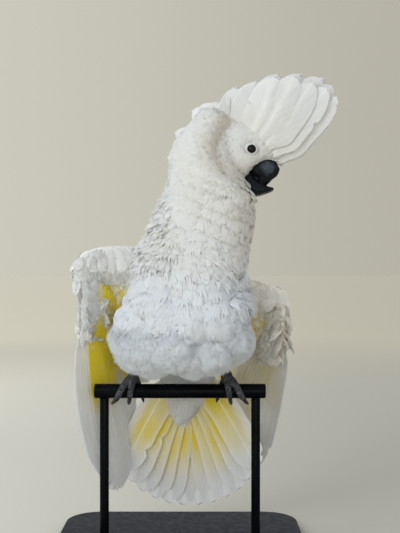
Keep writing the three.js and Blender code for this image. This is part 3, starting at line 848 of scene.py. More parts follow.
# the way the feathers lie, where it isn't away from the bill
LIE = {
    "trunk": vec(0.02, 0.28, -1.0),
    "neck": vec(-0.28, 0.10, -1.0),
    "thigh_right": vec(-0.06, 0.05, -1.0),
    "thigh_left": vec(0.06, 0.05, -1.0),
    "arm_right": vec(0.02, 0.40, -0.9),
    "arm_left": vec(-0.06, 0.55, -0.85),
    "hand_right": vec(0.12, 0.22, -1.0),
    "hand_left": vec(-0.15, 0.45, -0.85),
    "rump": vec(-0.08, 0.30, -0.95),
}
# soft lumps of down on the belly and thighs: place across and up, how wide and how high
PUFFS = (
    (-58, 259, 19, 9), (-46, 230, 27, 11), (-8, 230, 25, 11), (12, 258, 22, 8), (45, 260, 26, 9),
    (36, 222, 22, 9), (64, 236, 21, 9), (-35, 280, 22, 7), (-15, 258, 19, 6), (33, 285, 24, 6),
    (-55, 285, 18, 6), (64, 268, 18, 7), (-30, 214, 20, 8), (14, 214, 20, 8), (-66, 240, 16, 8),
)
# hollows: four between the lobes of the ruff and two beside the right wing, each with its middle,
# how wide it is and how far in it goes
HOLLOWS = (
    (head(-66, 8), 20, -8.0),
    (head(-70, -15), 15, -21.0),
    (head(-72, -46), 16, -15.0),
    (head(-58, -71), 13, -18.0),
    (vec(-74, 0, 289), 24, -16.0),
    (vec(-82, 0, 258), 24, -7.0),
)
HOOD_RIM = 4.5  # how far the ruff stands out round the face
TIER = 6.5  # how far each row of feathers on the front of the neck stands over the next
ROW = 14.0  # from one of these rows to the next
SLANT = 0.4  # how much lower the rows lie for each millimetre to the bird's left
BILL_ROOT = head(26, -12)
BILL_MIDDLE = head(24, -14)
EYES = (head(0, 0, EYE_SPREAD), head(0, 0, -EYE_SPREAD))
LID_REACH = 6.3  # how far an eyelid reaches from the middle of its eye
EYE_SIDE = 150  # square of the distance within which a point is on an eye's side of the head
SWELL = {"trunk": 0.9, "neck": 0.9, "head": 0.7, "crown": 0.2}  # how far parts grow to join up
SKIN_GRAIN = 2.4  # the size of the skin's faces
BLEND = 4.0  # over how far one part's coat gives way to the next one's
FLOW_SMOOTHINGS = 8  # how many times the lie of each point is evened out with its neighbours'


def area_of(names):
    """The numbers of these parts of the body."""
    return [PARTS.index(name) for name in names]


def tree_of(piece):
    """A piece's surface, for finding the nearest place on it."""
    piece.data.calc_loop_triangles()
    corners = [tuple(t.vertices) for t in piece.data.loop_triangles]
    return BVHTree.FromPolygons([Vector(p) for p in points_of(piece)], corners)


def body_parts():
    """The pieces of flesh that the skin is drawn over, by name."""
    solids = ("trunk", "neck", "head", "thigh_right", "thigh_left")
    parts = {name: copy_of(name, "flesh_" + name) for name in solids}
    for side, wing in WINGS.items():
        parts["arm_" + side] = wing_pad("flesh_arm_" + side, wing["arm_pad"])
        parts["hand_" + side] = wing_pad("flesh_hand_" + side, wing["hand_pad"])
    parts["rump"] = limb("flesh_rump", RUMP, RUMP_RADII, 0.55, vec(0, 1, 0))
    parts["crown"] = limb("flesh_crown", CROWN, CROWN_RADII, 0.6, HEAD_UP)
    return parts


class Skin:
    """The skin as a finished piece, with fields over its faces for the coat to follow."""

    def __init__(self):
        parts = body_parts()
        trees = {name: tree_of(part) for name, part in parts.items()}
        for name, part in parts.items():
            swollen(part, SWELL.get(name, 0.5))
        alone(*[parts[name] for name in PARTS])
        bpy.ops.object.join()
        self.piece = bpy.context.view_layer.objects.active
        self.piece.name = "skin"
        finished(self.piece, "REMESH", mode="VOXEL", voxel_size=SKIN_GRAIN * MM)
        finished(self.piece, "SMOOTH", factor=0.5, iterations=6)
        outer = points_of(self.piece)
        normals = normals_of(self.piece)
        weights = self.nearness(outer, trees)
        self.values = weights @ np.array([COAT[name] for name in PARTS])
        self.vary_coat(outer)
        inwards = self.values[:, DEPTH] - self.relief(outer)
        self.points = outer - normals * inwards[:, None]
        put_points(self.piece, self.points)
        finished(self.piece, "SMOOTH", factor=0.5, iterations=3)
        self.points = points_of(self.piece)
        self.normals = normals_of(self.piece)
        self.part = weights.argmax(1)
        self.faces = np.array([tuple(p.vertices) for p in self.piece.data.polygons])
        self.flow = self.lie(weights)
        self.tree = BVHTree.FromPolygons([Vector(p) for p in self.points], self.faces.tolist())
        self.face_normal = unit(self.normals[self.faces].mean(1))
        self.face_flow = unit(self.flow[self.faces].mean(1))
        self.face_value = self.values[self.faces].mean(1)
        smooth_shaded(self.piece)
        paint_tint(self.piece, markings(self.points, np.isin(self.part, area_of(WING_AREAS))))
        self.unwrap()

    def relief(self, points):
        """How far the skin stands out under lumps of down, the rim of the hood and the rows of
        the neck, and how far in it lies at the hollows."""
        low = ease(points[:, 2], 300, 275) * ease(points[:, 1], 40, 5)
        high = np.full(len(points), -6.0)
        for x, z, wide, out in PUFFS:
            off = np.hypot(points[:, 0] - x, points[:, 2] - z) / wide
            high = np.maximum(high, 1.25 * out * (1 - off**2) - 2.0)
        total = low * (high + waves(points, 17, 93) * 0.9)
        for centre, wide, out in HOLLOWS:
            total += out * np.exp(-(((points - centre) ** 2).sum(1) / wide**2))
        forward, up, right = in_head(points)
        off = np.hypot(forward, up + FACE_MIDDLE)
        hood = ease(off, 36, 44) * ease(off, 74, 52) * ease(np.abs(right), 4, 14) * ease(up, 22, 8)
        total += HOOD_RIM * hood
        x, _, z = points.T
        tier = ((z + SLANT * x) / ROW) % 1.0
        front = ease(z, 285, 300) * ease(z, 425, 405) * ease(x, 5, 30)
        return total + front * TIER * (0.5 - tier)

    def nearness(self, points, trees):
        """How much each point belongs to each part of the body."""
        far = np.empty((len(points), len(PARTS)))
        for i, name in enumerate(PARTS):
            find = trees[name].find_nearest
            far[:, i] = [find(Vector(p))[3] for p in points]
        near = far - far.min(1, keepdims=True)
        weights = np.exp(-near / BLEND)
        return weights / weights.sum(1, keepdims=True)

    def vary_coat(self, points):
        """Small feathers on the face, long ones at the nape, a loose shawl over the top of the
        breast, a stiff mane down the neck below the nape, and fluff on the belly."""
        x, y, z = points.T
        behind = -in_head(points)[0]
        eye_far = np.minimum(*(np.linalg.norm(points - eye, axis=1) for eye in EYES))
        bill_far = np.linalg.norm(points - BILL_MIDDLE, axis=1)
        from_face = ease(np.minimum(eye_far - 6, bill_far - 20), 0, 22)
        places = (
            (FACE_COAT, ease(z, 385, 415) * (1 - from_face)),
            (NAPE_COAT, ease(behind, 20, 40) * ease(z, 395, 425)),
            (SHAWL_COAT, ease(z, 355, 320) * ease(z, 285, 305) * ease(x, 20, 45)),
            (MANE_COAT, ease(z, 325, 345) * ease(z, 430, 410) * ease(x, 8, -14)),
            (BELLY_COAT, ease(z, 285, 245) * ease(y, 20, -10)),
        )
        for values, share in places:
            self.values[:] = mix(self.values, values, share[:, None])

    def lie(self, weights):
        """The way the feathers lie at each point: away from the bill, then down the body."""
        flow = np.zeros_like(self.points)
        for i, name in enumerate(PARTS):
            way = LIE.get(name)
            if way is None:
                way = unit(self.points - BILL_ROOT)
            flow += weights[:, i : i + 1] * way
        share = ease(self.points[:, 2], 372, 425)[:, None]
        radial = unit(self.points - BILL_ROOT)
        flow = mix(flow, radial * 1.2 + vec(-0.1, 0, -0.25), share * 0.85)
        flow += 0.22 * np.stack([waves(self.points, 55, s) for s in (11, 12, 13)], 1)
        edges = np.array([tuple(e.vertices) for e in self.piece.data.edges])
        for _ in range(FLOW_SMOOTHINGS):
            flow -= self.normals * (flow * self.normals).sum(1, keepdims=True)
            flow = unit(flow)
            total = flow.copy()
            np.add.at(total, edges[:, 0], flow[edges[:, 1]])
            np.add.at(total, edges[:, 1], flow[edges[:, 0]])
            flow = total
        flow -= self.normals * (flow * self.normals).sum(1, keepdims=True)
        return unit(flow)

    def unwrap(self):
        """An unwrap of a plainer copy of the skin, from which each tuft takes its patch."""
        proxy = self.piece.copy()
        proxy.data = self.piece.data.copy()
        bpy.context.scene.collection.objects.link(proxy)
        finished(proxy, "DECIMATE", ratio=0.05)
        alone(proxy)
        bpy.ops.object.mode_set(mode="EDIT")
        bpy.ops.mesh.select_all(action="SELECT")
        bpy.ops.uv.smart_project(angle_limit=math.radians(66), island_margin=0.004)
        bpy.ops.object.mode_set(mode="OBJECT")
        mesh = proxy.data
        mesh.calc_loop_triangles()
        uv = np.empty(len(mesh.loops) * 2)
        mesh.uv_layers.active.data.foreach_get("uv", uv)
        uv = uv.reshape(-1, 2)
        corners = np.array([tuple(t.vertices) for t in mesh.loop_triangles])
        loops = np.array([tuple(t.loops) for t in mesh.loop_triangles])
        self.map_points = points_of(proxy)[corners]
        self.map_uv = uv[loops]
        self.map_tree = BVHTree.FromPolygons([Vector(p) for p in points_of(proxy)], corners.tolist())
        bpy.data.objects.remove(proxy)

    def map_place(self, points):
        """Where points lie on the unwrap."""
        found = np.empty((len(points), 2))
        for i, point in enumerate(points):
            near, _, face, _ = self.map_tree.find_nearest(Vector(point))
            a, b, c = self.map_points[face]
            ab, ac, away = b - a, c - a, np.array(near) - a
            long_b, both, long_c = ab @ ab, ab @ ac, ac @ ac
            bottom = max(long_b * long_c - both * both, 1e-12)
            s = (long_c * (away @ ab) - both * (away @ ac)) / bottom
            t = (long_b * (away @ ac) - both * (away @ ab)) / bottom
            ua, ub, uc = self.map_uv[face]
            found[i] = ua + (ub - ua) * s + (uc - ua) * t
        return found


# ---------------------------------------------------------------- the coat: small feathers

PATCH = 0.003  # how wide a feather's patch is on the unwrap
STEPS = 6  # into how many parts a small feather's length is cut
TRIES = 3.4  # places tried for each feather that the spacing asks for
ROOT_GAP = 0.84  # share of the spacing that stays free round a root
SHARPEST_TURN = 0.72  # cosine of the sharpest turn of the skin that a feather follows
LOOSE_STEPS = 2  # how many of its steps a feather may lie off the skin


def scatter(skin, closeness, seed):
    """Feather roots over the skin, as face numbers and points, spaced by the coat's table."""
    rng = np.random.default_rng(seed)
    corner = skin.points[skin.faces]
    size = np.linalg.norm(np.cross(corner[:, 1] - corner[:, 0], corner[:, 3] - corner[:, 0]), axis=1)
    spacing = skin.face_value[:, SPACING] * closeness
    chance = size / spacing**2
    picks = rng.choice(len(size), int(chance.sum() * TRIES), p=chance / chance.sum())
    s, t = rng.random((2, len(picks), 1))
    c = corner[picks]
    points = mix(mix(c[:, 0], c[:, 1], s), mix(c[:, 3], c[:, 2], s), t)
    tree = KDTree(len(points))
    for i, point in enumerate(points):
        tree.insert(point, i)
    tree.balance()
    free = np.ones(len(points), bool)
    kept = []
    for i, point in enumerate(points):
        if not free[i]:
            continue
        kept.append(i)
        for _, j, _ in tree.find_range(point, spacing[picks[i]] * ROOT_GAP):
            free[j] = False
    return picks[kept], points[kept]


def clear_of(points, near, reach):
    """True where a point is further than reach from every one of the pieces' surfaces."""
    clear = np.ones(len(points), bool)
    for tree in near:
        clear &= np.array([tree.find_nearest(Vector(p))[3] > reach for p in points])
    return clear


def turned(way, axis, angle):
    """A way at right angles to axis, turned round it."""
    return way * np.cos(angle) + np.cross(axis, way) * np.sin(angle)


def off_the_lids(point):
    """A point on the skin, moved out to the rim of an eyelid if it lies under it."""
    for eye in EYES:
        off = point - eye
        off -= RIGHT * (off @ RIGHT)
        gap = np.linalg.norm(off)
        on_this_side = (point - eye) @ (point - eye) < EYE_SIDE
        if gap < LID_REACH and on_this_side:
            point = point + off / max(gap, 0.1) * (LID_REACH - gap)
    return point


def into_rows(roots, length):
    """The lengths of feathers, changed on the front of the neck so that their tips lie in rows."""
    ends = roots[:, 2] - length * 0.93 + roots[:, 0] * SLANT
    rowed = ease(roots[:, 2], 300, 320) * ease(roots[:, 2], 435, 415) * ease(roots[:, 0], 5, 25)
    return length + rowed * (ends - np.round(ends / ROW) * ROW) * 0.8


def combed(skin, faces, roots, rng):
    """Lines that follow the lie of the coat from their roots, with the way out and the coat's
    depth at each step. A line that runs off the skin goes on in the air, and is left out if it
    does so for too long: the last result tells which roots keep their line."""
    count = len(roots)
    value = skin.face_value[faces]
    length = value[:, LENGTH] * rng.uniform(0.82, 1.15, count)
    stray = np.radians(value[:, STRAY]) * rng.normal(size=count)
    curl = np.radians(value[:, STRAY]) * rng.normal(size=count) * 0.5
    length = into_rows(roots, length)
    lines = np.empty((count, STEPS + 1, 3))
    outs = np.empty_like(lines)
    depth = np.empty((count, STEPS + 1))
    loose = np.zeros(count, int)
    find = skin.tree.find_nearest
    for i in range(count):
        face = faces[i]
        here = roots[i]
        out = skin.face_normal[face]
        step = length[i] / STEPS
        way = turned(skin.face_flow[face], out, stray[i])
        free = False
        lines[i, 0], outs[i, 0], depth[i, 0] = here, out, skin.face_value[face, DEPTH]
        for k in range(1, STEPS + 1):
            ahead = here + way * step
            if not free:
                near, _, face, _ = find(Vector(ahead))
                near = np.array(near)
                new_out = skin.face_normal[face]
                if new_out @ out < SHARPEST_TURN or np.linalg.norm(near - ahead) > step:
                    free = True
                else:
                    lie = turned(skin.face_flow[face], new_out, stray[i] + curl[i] * k / STEPS)
                    way = unit(mix(way - new_out * (way @ new_out), lie, 0.5))
                    here, out = off_the_lids(near), new_out
            if free:
                loose[i] += 1
                here = ahead
                way = unit(way + vec(0, 0, -0.06) - out * 0.04)
            lines[i, k], outs[i, k], depth[i, k] = here, out, skin.face_value[face, DEPTH]
    lying = loose <= LOOSE_STEPS
    return lines[lying], outs[lying], depth[lying], value[lying], lying


# along the feather, at each sixth of it: share of its width, and of the coat's depth
SPREAD = np.array((0.35, 0.66, 0.86, 0.97, 1.0, 0.97, 0.9))
RISE = np.array((0.10, 0.42, 0.68, 0.86, 0.96, 1.02, 1.05))


def prism(rows):
    """Faces of a closed bar through rows of three corners. The last row may be a single one."""
    faces = [tuple(rows[0])]
    for a, b in zip(rows, rows[1:]):
        for i in range(3):
            j = (i + 1) % 3
            if len(b) == 1:
                faces.append((a[i], b[0], a[j]))
            else:
                faces.append((a[i], b[i], b[j], a[j]))
    if len(rows[-1]) == 3:
        faces.append(tuple(reversed(rows[-1])))
    return faces


def tufts(lines, outs, depth, value, rng, strands):
    """Feathers with a closed vane at the root that parts into fine strands at the end.
    Returns points, the faces of one feather, where its points lie on the vane, and which of
    them are on a rim."""
    count = len(lines)
    way = np.gradient(lines, axis=1)
    side = unit(np.cross(way, outs))
    half = 0.5 * value[:, WIDTH] * rng.uniform(0.85, 1.15, count)
    lift = value[:, LIFT] * rng.uniform(0.2, 1.4, count) ** 1.5
    fan = value[:, FAN]
    level = rng.uniform(0.93, 1.03, count)

    def spot(k, u, above=0.0):
        """Points at step k and at u across the vane, from -1 to 1, and above it."""
        u = np.broadcast_to(u, (count,))
        high = depth[:, k] * RISE[k] * level + lift * (k / STEPS) ** 3 - half * 0.24 * u * u + above
        aside = half * SPREAD[k] * u
        return lines[:, k] + side[:, k] * aside[:, None] + outs[:, k] * high[:, None]

    points, faces, vane, corners = [], [], [], []

    def add(point, u, v, corner):
        points.append(point)
        vane.append((u, v))
        corners.append(corner)
        return len(points) - 1

    rows = []
    for k in (0, 2, 3, 4):
        rows.append([add(spot(k, u), u, k / STEPS, j) for j, u in enumerate((-0.9, 0.0, 0.9))])
    faces += prism(rows)
    downy = ease(fan, 1.05, 1.45)
    fine = mix(1.5, 0.75, downy)
    loose = ease(value[:, LENGTH], 4, 24)
    thick = half / strands * fine
    # each strand sways aside, stands up from the coat and is longer or shorter than its
    # neighbours, and those at the sides are the shortest
    for m in range(strands):
        u = (2 * m / (strands - 1) - 1) * 0.86
        sway = rng.normal(0, 0.10, count) * loose
        puff = rng.uniform(-0.1, 0.3, count) * mix(0.6, 3.0, downy)
        reach = rng.uniform(-0.9, 0.55, count) * loose - 0.7 * u * u
        wide = fine / strands
        rows = []
        for k, width, raised in ((3, 1.0, 0.05), (5, 0.8, 0.45)):
            middle = u * (1 + (fan - 1) * (k / STEPS) ** 2) + sway * (k / STEPS) ** 2
            left = spot(k, middle - wide * width, raised * puff)
            ridge = spot(k, middle, raised * puff + thick * 0.28)
            right = spot(k, middle + wide * width, raised * puff)
            corner_points = ((left, u - 0.12), (ridge, u), (right, u + 0.12))
            rows.append([add(point, at, k / STEPS, j) for j, (point, at) in enumerate(corner_points)])
        tip = spot(STEPS, u * fan * 1.05 + sway * 1.8, puff) + way[:, STEPS] * reach[:, None]
        rows.append([add(tip, u, 1.0, 0)])
        faces += prism(rows)
    points = np.stack(points, 1)
    one = points[0]
    volume = sum(
        one[f[0]] @ np.cross(one[f[i]], one[f[i + 1]]) for f in faces for i in range(1, len(f) - 1)
    )
    if volume < 0:
        faces = [tuple(reversed(f)) for f in faces]
    rim = np.array([corner != 1 for corner in corners])
    vane = np.array(vane)
    vane[:, 0] = np.clip(vane[:, 0], -1, 1) * 0.5 + 0.5
    return points, faces, vane, rim


def coat_piece(name, points, faces, vane, patch, colours, look, slot, *nodes):
    """Many like feathers, each the same faces over its own points, as one piece."""
    count, each = points.shape[:2]
    loops = [v for face in faces for v in face]
    starts = np.cumsum([0] + [len(f) for f in faces])[:-1]
    all_loops = (np.array(loops)[None] + np.arange(count)[:, None] * each).ravel()
    all_starts = (starts[None] + np.arange(count)[:, None] * len(loops)).ravel()
    mesh = bpy.data.meshes.new(name)
    mesh.vertices.add(count * each)
    mesh.vertices.foreach_set("co", (points.reshape(-1, 3) * MM).ravel())
    mesh.loops.add(len(all_loops))
    mesh.loops.foreach_set("vertex_index", all_loops.astype(np.int32))
    mesh.polygons.add(count * len(faces))
    mesh.polygons.foreach_set("loop_start", all_starts.astype(np.int32))
    mesh.update(calc_edges=True)
    mesh.validate()
    made = bpy.data.objects.new(name, mesh)
    bpy.context.scene.collection.objects.link(made)
    ofbake = mesh.uv_layers.new(name="OFBake")
    own = mesh.uv_layers.new(name="vane")
    vane_loops = np.tile(vane[loops], (count, 1))
    own.data.foreach_set("uv", vane_loops.ravel())
    map_loops = patch[:, None] + vane[loops][None] * PATCH - PATCH / 2
    ofbake.data.foreach_set("uv", map_loops.reshape(-1).ravel())
    paint_tint(made, colours.reshape(-1, 3))
    smooth_shaded(made)
    placed(made, look, slot, *nodes)
    return made


def mark_rims(piece, each, rim):
    """Sharp edges along the rims of thin vanes, so that their faces shade flat and light."""
    mesh = piece.data
    edges = np.empty(len(mesh.edges) * 2, np.int32)
    mesh.edges.foreach_get("vertices", edges)
    edges = edges.reshape(-1, 2) % each
    layer = mesh.attributes.new("sharp_edge", "BOOLEAN", "EDGE")
    layer.data.foreach_set("value", rim[edges[:, 0]] & rim[edges[:, 1]])


CLOSENESS = 0.6  # feathers root this much closer than the table's spacing
BILL_GAP = 2.2  # no feather roots this near to the bill
LID_GAP = 1.2  # or this near to an eyelid
LOW = 268  # under this height the coat belongs to the lower pieces
FRONT = 2  # in front of this y it belongs to the breast or belly
EAR = -20  # and on the head, in front of this it belongs to the face
# the parts of the body that each piece of coat covers, which quarter of them, how many strands
# a feather has, and the nodes that the piece stands for. The quarters are 0 high at the back,
# 1 high in front, 2 low at the back and 3 low in front
COAT_PIECES = {
    "coat_face": (("head", "crown"), 1, 5, ("head",)),
    "coat_hood": (("head", "crown"), 0, 6, ("head",)),
    "coat_neck": (("neck",), None, 8, ("neck",)),
    "coat_back": (("trunk",), 0, 8, ("trunk",)),
    "coat_breast": (("trunk",), 1, 8, ("trunk",)),
    "coat_flanks": (("trunk",), 2, 8, ("trunk",)),
    "coat_belly": (("trunk",), 3, 12, ("trunk",)),
    "coat_thighs": (("thigh_right", "thigh_left"), None, 12, ("thigh_right", "thigh_left")),
    "coat_wing_right": (("arm_right", "hand_right"), None, 7, ("wing_right_arm", "wing_right_hand")),
    "coat_wing_left": (("arm_left", "hand_left"), None, 7, ("wing_left_arm", "wing_left_hand")),
    "coat_rump": (("rump",), None, 7, ("tail",)),
}


def coat(skin):
    """The small feathers, in pieces by region."""
    rng = np.random.default_rng(5)
    faces, roots = scatter(skin, CLOSENESS, 7)
    near = [tree_of(copy_of(name, "near_" + name)) for name in ("bill_upper", "bill_lower")]
    for name in ("near_bill_upper", "near_bill_lower"):
        bpy.data.objects.remove(bpy.data.objects[name])
    keep = clear_of(roots, near, BILL_GAP)
    for eye in EYES:
        keep &= np.linalg.norm(roots - eye, axis=1) > LID_REACH + LID_GAP
    faces, roots = faces[keep], roots[keep]
    part = skin.part[skin.faces[faces][:, 0]]
    low = np.where(roots[:, 2] < LOW, 1, 0)
    before_ear = in_head(roots)[0] > EAR
    for name, (areas, level, strands, nodes) in COAT_PIECES.items():
        mine = np.isin(part, area_of(areas))
        if level is not None:
            front = before_ear if "head" in areas else roots[:, 1] < FRONT
            mine &= (low * 2 + front) == level
        lines, outs, depth, value, lying = combed(skin, faces[mine], roots[mine], rng)
        mine = np.flatnonzero(mine)[lying]
        points, shapes, vane, rim = tufts(lines, outs, depth, value, rng, strands)
        on_wing = np.isin(part[mine], area_of(WING_AREAS))
        tone = markings(roots[mine], on_wing) * rng.uniform(0.965, 1.0, (len(mine), 1))
        shade = ease(vane[:, 1], 0.0, 0.7) * 0.12 + 0.88
        colours = tone[:, None] * shade[None, :, None]
        patch = skin.map_place(roots[mine])
        made = coat_piece(name, points, shapes, vane, patch, colours, "contour", "white_feather", *nodes)
        mark_rims(made, points.shape[1], rim)


# ---------------------------------------------------------------- large feathers


# places across a large feather, from its outer edge over the shaft to its inner edge
COLUMNS = np.array((-1.0, -0.62, -0.28, -0.05, 0.0, 0.05, 0.28, 0.62, 1.0))
EDGE = 0.9  # past this a place is on an edge
TIP_ROWS = 8  # how many of a feather's rows round off its tip


def vane_shape(quill, width, outer, rng, rows=26, tilt=1.1, blunt=0.2, bend=0.08, splits=2):
    """The points of one large feather, shaft and two webs with a few splits, on both faces, and
    where its rows lie along it."""
    round_end = np.sin(np.linspace(0, math.pi / 2, TIP_ROWS + 1)[1:])
    t = np.concatenate([np.linspace(0, 0.8, rows - TIP_ROWS), 0.8 + 0.2 * round_end])
    run, across, over = quill.frames(t)
    line = quill.at(t)
    # narrow at the root, rounded at the tip, and with a ragged edge that has a few notches
    body = 0.28 + 0.72 * ease(t, 0.0, 0.28)
    past = np.clip(t - (1 - blunt), 0, 1) / blunt
    end = np.sqrt(np.clip(1 - past**2, 0, 1)) * 0.94 + 0.06
    wide = width * body * end
    ragged = 1 + rng.normal(0, 0.012, (len(t), 2)).cumsum(0) * 0.5
    for _ in range(splits):
        k = rng.integers(rows // 3, rows - 3)
        ragged[k, rng.integers(0, 2)] *= rng.uniform(0.62, 0.85)
    first, second = [], []
    ripple = rng.normal(0, 0.10, (len(t), len(COLUMNS)))
    # each web is bent and tilted, thin but for the shaft, and swept back at its edge
    for j, u in enumerate(COLUMNS):
        share = outer if u < 0 else 1 - outer
        edge = ragged[:, 0 if u < 0 else 1]
        reach = u * wide * share * (edge if abs(u) > EDGE else 1.0)
        high = -bend * wide * u * u - tilt * u * np.clip(t * 3, 0, 1) + ripple[:, j] * abs(u)
        thick = (0.62 if abs(u) < 0.06 else 0.16) * (1 - 0.6 * t)
        back = -0.05 * width * abs(u) * np.clip(t * 2, 0, 1)
        swept = run * back[:, None]
        point = line + across * reach[:, None] + over * high[:, None] + swept
        if abs(u) > EDGE:
            first.append(point)
            second.append(point)
        else:
            first.append(point + over * thick[:, None])
            second.append(point - over * thick[:, None])
    return np.stack(first + second[1:-1], 1), t


def vane_faces(rows):
    """The faces of a large feather with this many rows, and which belong to its first side."""
    wide = len(COLUMNS)
    each = wide + wide - 2
    under = [0] + list(range(wide, each)) + [wide - 1]
    faces, on_first = [], []
    for k in range(rows - 1):
        a, b = k * each, (k + 1) * each
        for j in range(wide - 1):
            faces.append((a + j, a + j + 1, b + j + 1, b + j))
            on_first.append(True)
            p, q = under[j], under[j + 1]
            faces.append((a + q, a + p, b + p, b + q))
            on_first.append(False)
    for first, flip in ((0, True), ((rows - 1) * each, False)):
        for j in range(wide - 1):
            p, q = under[j], under[j + 1]
            loop = [first + j, first + p, first + q, first + j + 1]
            loop = [v for i, v in enumerate(loop) if v not in loop[:i]]
            if len(loop) > 2:
                faces.append(tuple(loop[::-1] if flip else loop))
                on_first.append(True)
    return faces, on_first


def map_vanes(mesh, u, v, spread, on_first, size):
    """Two maps of a piece of large feathers: each one's own vane, and a strip for each face."""
    ofbake = mesh.uv_layers.new(name="OFBake")
    own = mesh.uv_layers.new(name="vane")
    loops = np.empty(len(mesh.loops), np.int32)
    mesh.loops.foreach_get("vertex_index", loops)
    across = u[loops] / 2 + 0.5
    own.data.foreach_set("uv", np.stack([across, v[loops]], 1).ravel())
    first_loop = np.repeat(on_first, [len(face) for face in spread])
    strip = loops // size * 2 + ~first_loop
    wide = 1.0 / (2 * (len(u) // size))
    bake = np.stack([(strip + 0.08 + 0.84 * across) * wide, 0.01 + 0.98 * v[loops]], 1)
    ofbake.data.foreach_set("uv", bake.ravel())


def vanes_piece(name, quills, widths, outer, tint, look, slot, *nodes, seed=1, **shape):
    """A set of large feathers as one piece. outer is the outer web's share of the width, and
    tint gives colours from the places across and along a vane, a mark that is 1 on its first
    side, and the feather's number."""
    rng = np.random.default_rng(seed)
    across = np.concatenate([COLUMNS, COLUMNS[1:-1]])
    sides = np.concatenate([np.ones(len(COLUMNS)), np.zeros(len(COLUMNS) - 2)])
    all_points, all_colours = [], []
    for i, quill in enumerate(quills):
        points, t = vane_shape(quill, widths[i], outer, rng, **shape)
        u, v = (grid.ravel() for grid in np.meshgrid(across, t))
        colours = tint(u, v, np.tile(sides, len(t)), i)
        all_colours.append(colours * rng.uniform(0.96, 1.0))
        all_points.append(points.reshape(-1, 3))
    faces, on_first = vane_faces(len(t))
    count, size = len(quills), len(all_points[0])
    spread = [tuple(corner + i * size for corner in face) for i in range(count) for face in faces]
    made = outwards(mesh_of(name, np.concatenate(all_points), spread))
    on_first = np.tile(on_first, count)
    map_vanes(made.data, np.tile(u, count), np.tile(v, count), spread, on_first, size)
    paint_tint(made, np.concatenate(all_colours))
    smooth_shaded(made)
    rim = np.isin(np.arange(size) % len(across), (0, len(COLUMNS) - 1))
    mark_rims(made, size, rim)
    placed(made, look, slot, *nodes)
    return made


LEADING = 3  # how many of the first flight feathers are nearly white


def flight_tint(u, v, first, place):
    """White above, yellow on the underside, fading to a white tip and outer edge."""
    near_body = ease(place, 8, 11)
    end = mix(0.46, 0.78, near_body)
    web = np.where(u > 0, 1.0, 0.5) * ease(v, end + 0.18, end) * ease(-u, 1.0, 0.6)
    yellow = web * np.where(first > 0.5, 1.0, 0.12) * (0.25 if place < LEADING else 1.0)
    return mix(WHITE, YELLOW, yellow[:, None])


def tail_tint(u, v, first, place):
    """White, with yellow on the inner web that is stronger on the underside."""
    web = ease(u, -0.95, -0.35) * ease(v, 0.92, 0.5) * (0.8 + 0.2 * np.cos(v * 9 + place * 2.1))
    yellow = web * np.where(first > 0.5, 0.5, 1.0)
    return mix(WHITE, YELLOW, yellow[:, None])


def crest_tint(u, v, first, place):
    """White, with painted shade in cream towards the root."""
    warm = ease(v, 0.75, 0.1) * 0.35
    return mix(WHITE, CREAM, warm[:, None])


def broader(narrow, wide, place):
    """A feather's width in its row, from the leading one to those further in."""
    return mix(narrow, wide, ease(place / FLIGHT_FEATHERS, 0, 0.6))


def wings():
    """The flight feathers of both wings."""
    places = range(FLIGHT_FEATHERS)
    for side, wing in WINGS.items():
        quills = [flight_quill(wing, place) for place in places]
        widths = [broader(28, 34, place) for place in places]
        vanes_piece(
            "flight_feathers_" + side, quills, widths, 0.34, flight_tint, "vane", "flight_feather",
            seed=21, tilt=0.55, bend=0.03,
        )


# rows of coverts on each wing: how long, how far behind the flight feathers (in front of them
# where less than 0), and how ruffled
COVERT_ROWS = {
    "right": ((36, -4.5, 1.2), (22, -7.0, 1.2), (42, 4.5, 1.2), (26, 6.5, 1.2)),
    "left": (
        (46, -4.0, 4.0), (40, -6.0, 4.5), (32, -8.0, 5.0), (24, -10.0, 5.0), (15, -11.0, 5.0),
        (44, 4.5, 1.5), (28, 6.5, 1.5),
    ),
}


def under_arm_yellow(along, first, place, rows, full):
    """How yellow a covert is: in the first few rows, from place 11 inwards, on the underside."""
    row, place = divmod(place, FLIGHT_FEATHERS)
    return (row < rows) * ease(place, 11, full) * along * np.where(first > 0.5, 1.0, 0.15)


def covert_tint(u, v, first, place):
    """White coverts on the right wing, yellow under the arm."""
    yellow = under_arm_yellow(ease(v, 1.1, 0.6), first, place, 2, 13)
    return mix(WHITE, YELLOW, yellow[:, None])


def shaded_covert_tint(u, v, first, place):
    """Coverts on the left wing in painted shade, cream and darker towards the root, and yellow under the
    arm.
    """
    yellow = under_arm_yellow(ease(v, 1.2, 0.6), first, place, 3, 14)
    cream = mix(WHITE, CREAM, ease(v, 1.1, 0.6)[:, None])
    pale = mix(cream, PAINTED_SHADE, (0.7 * ease(v, 0.6, 0.1))[:, None])
    return mix(pale, YELLOW, yellow[:, None])


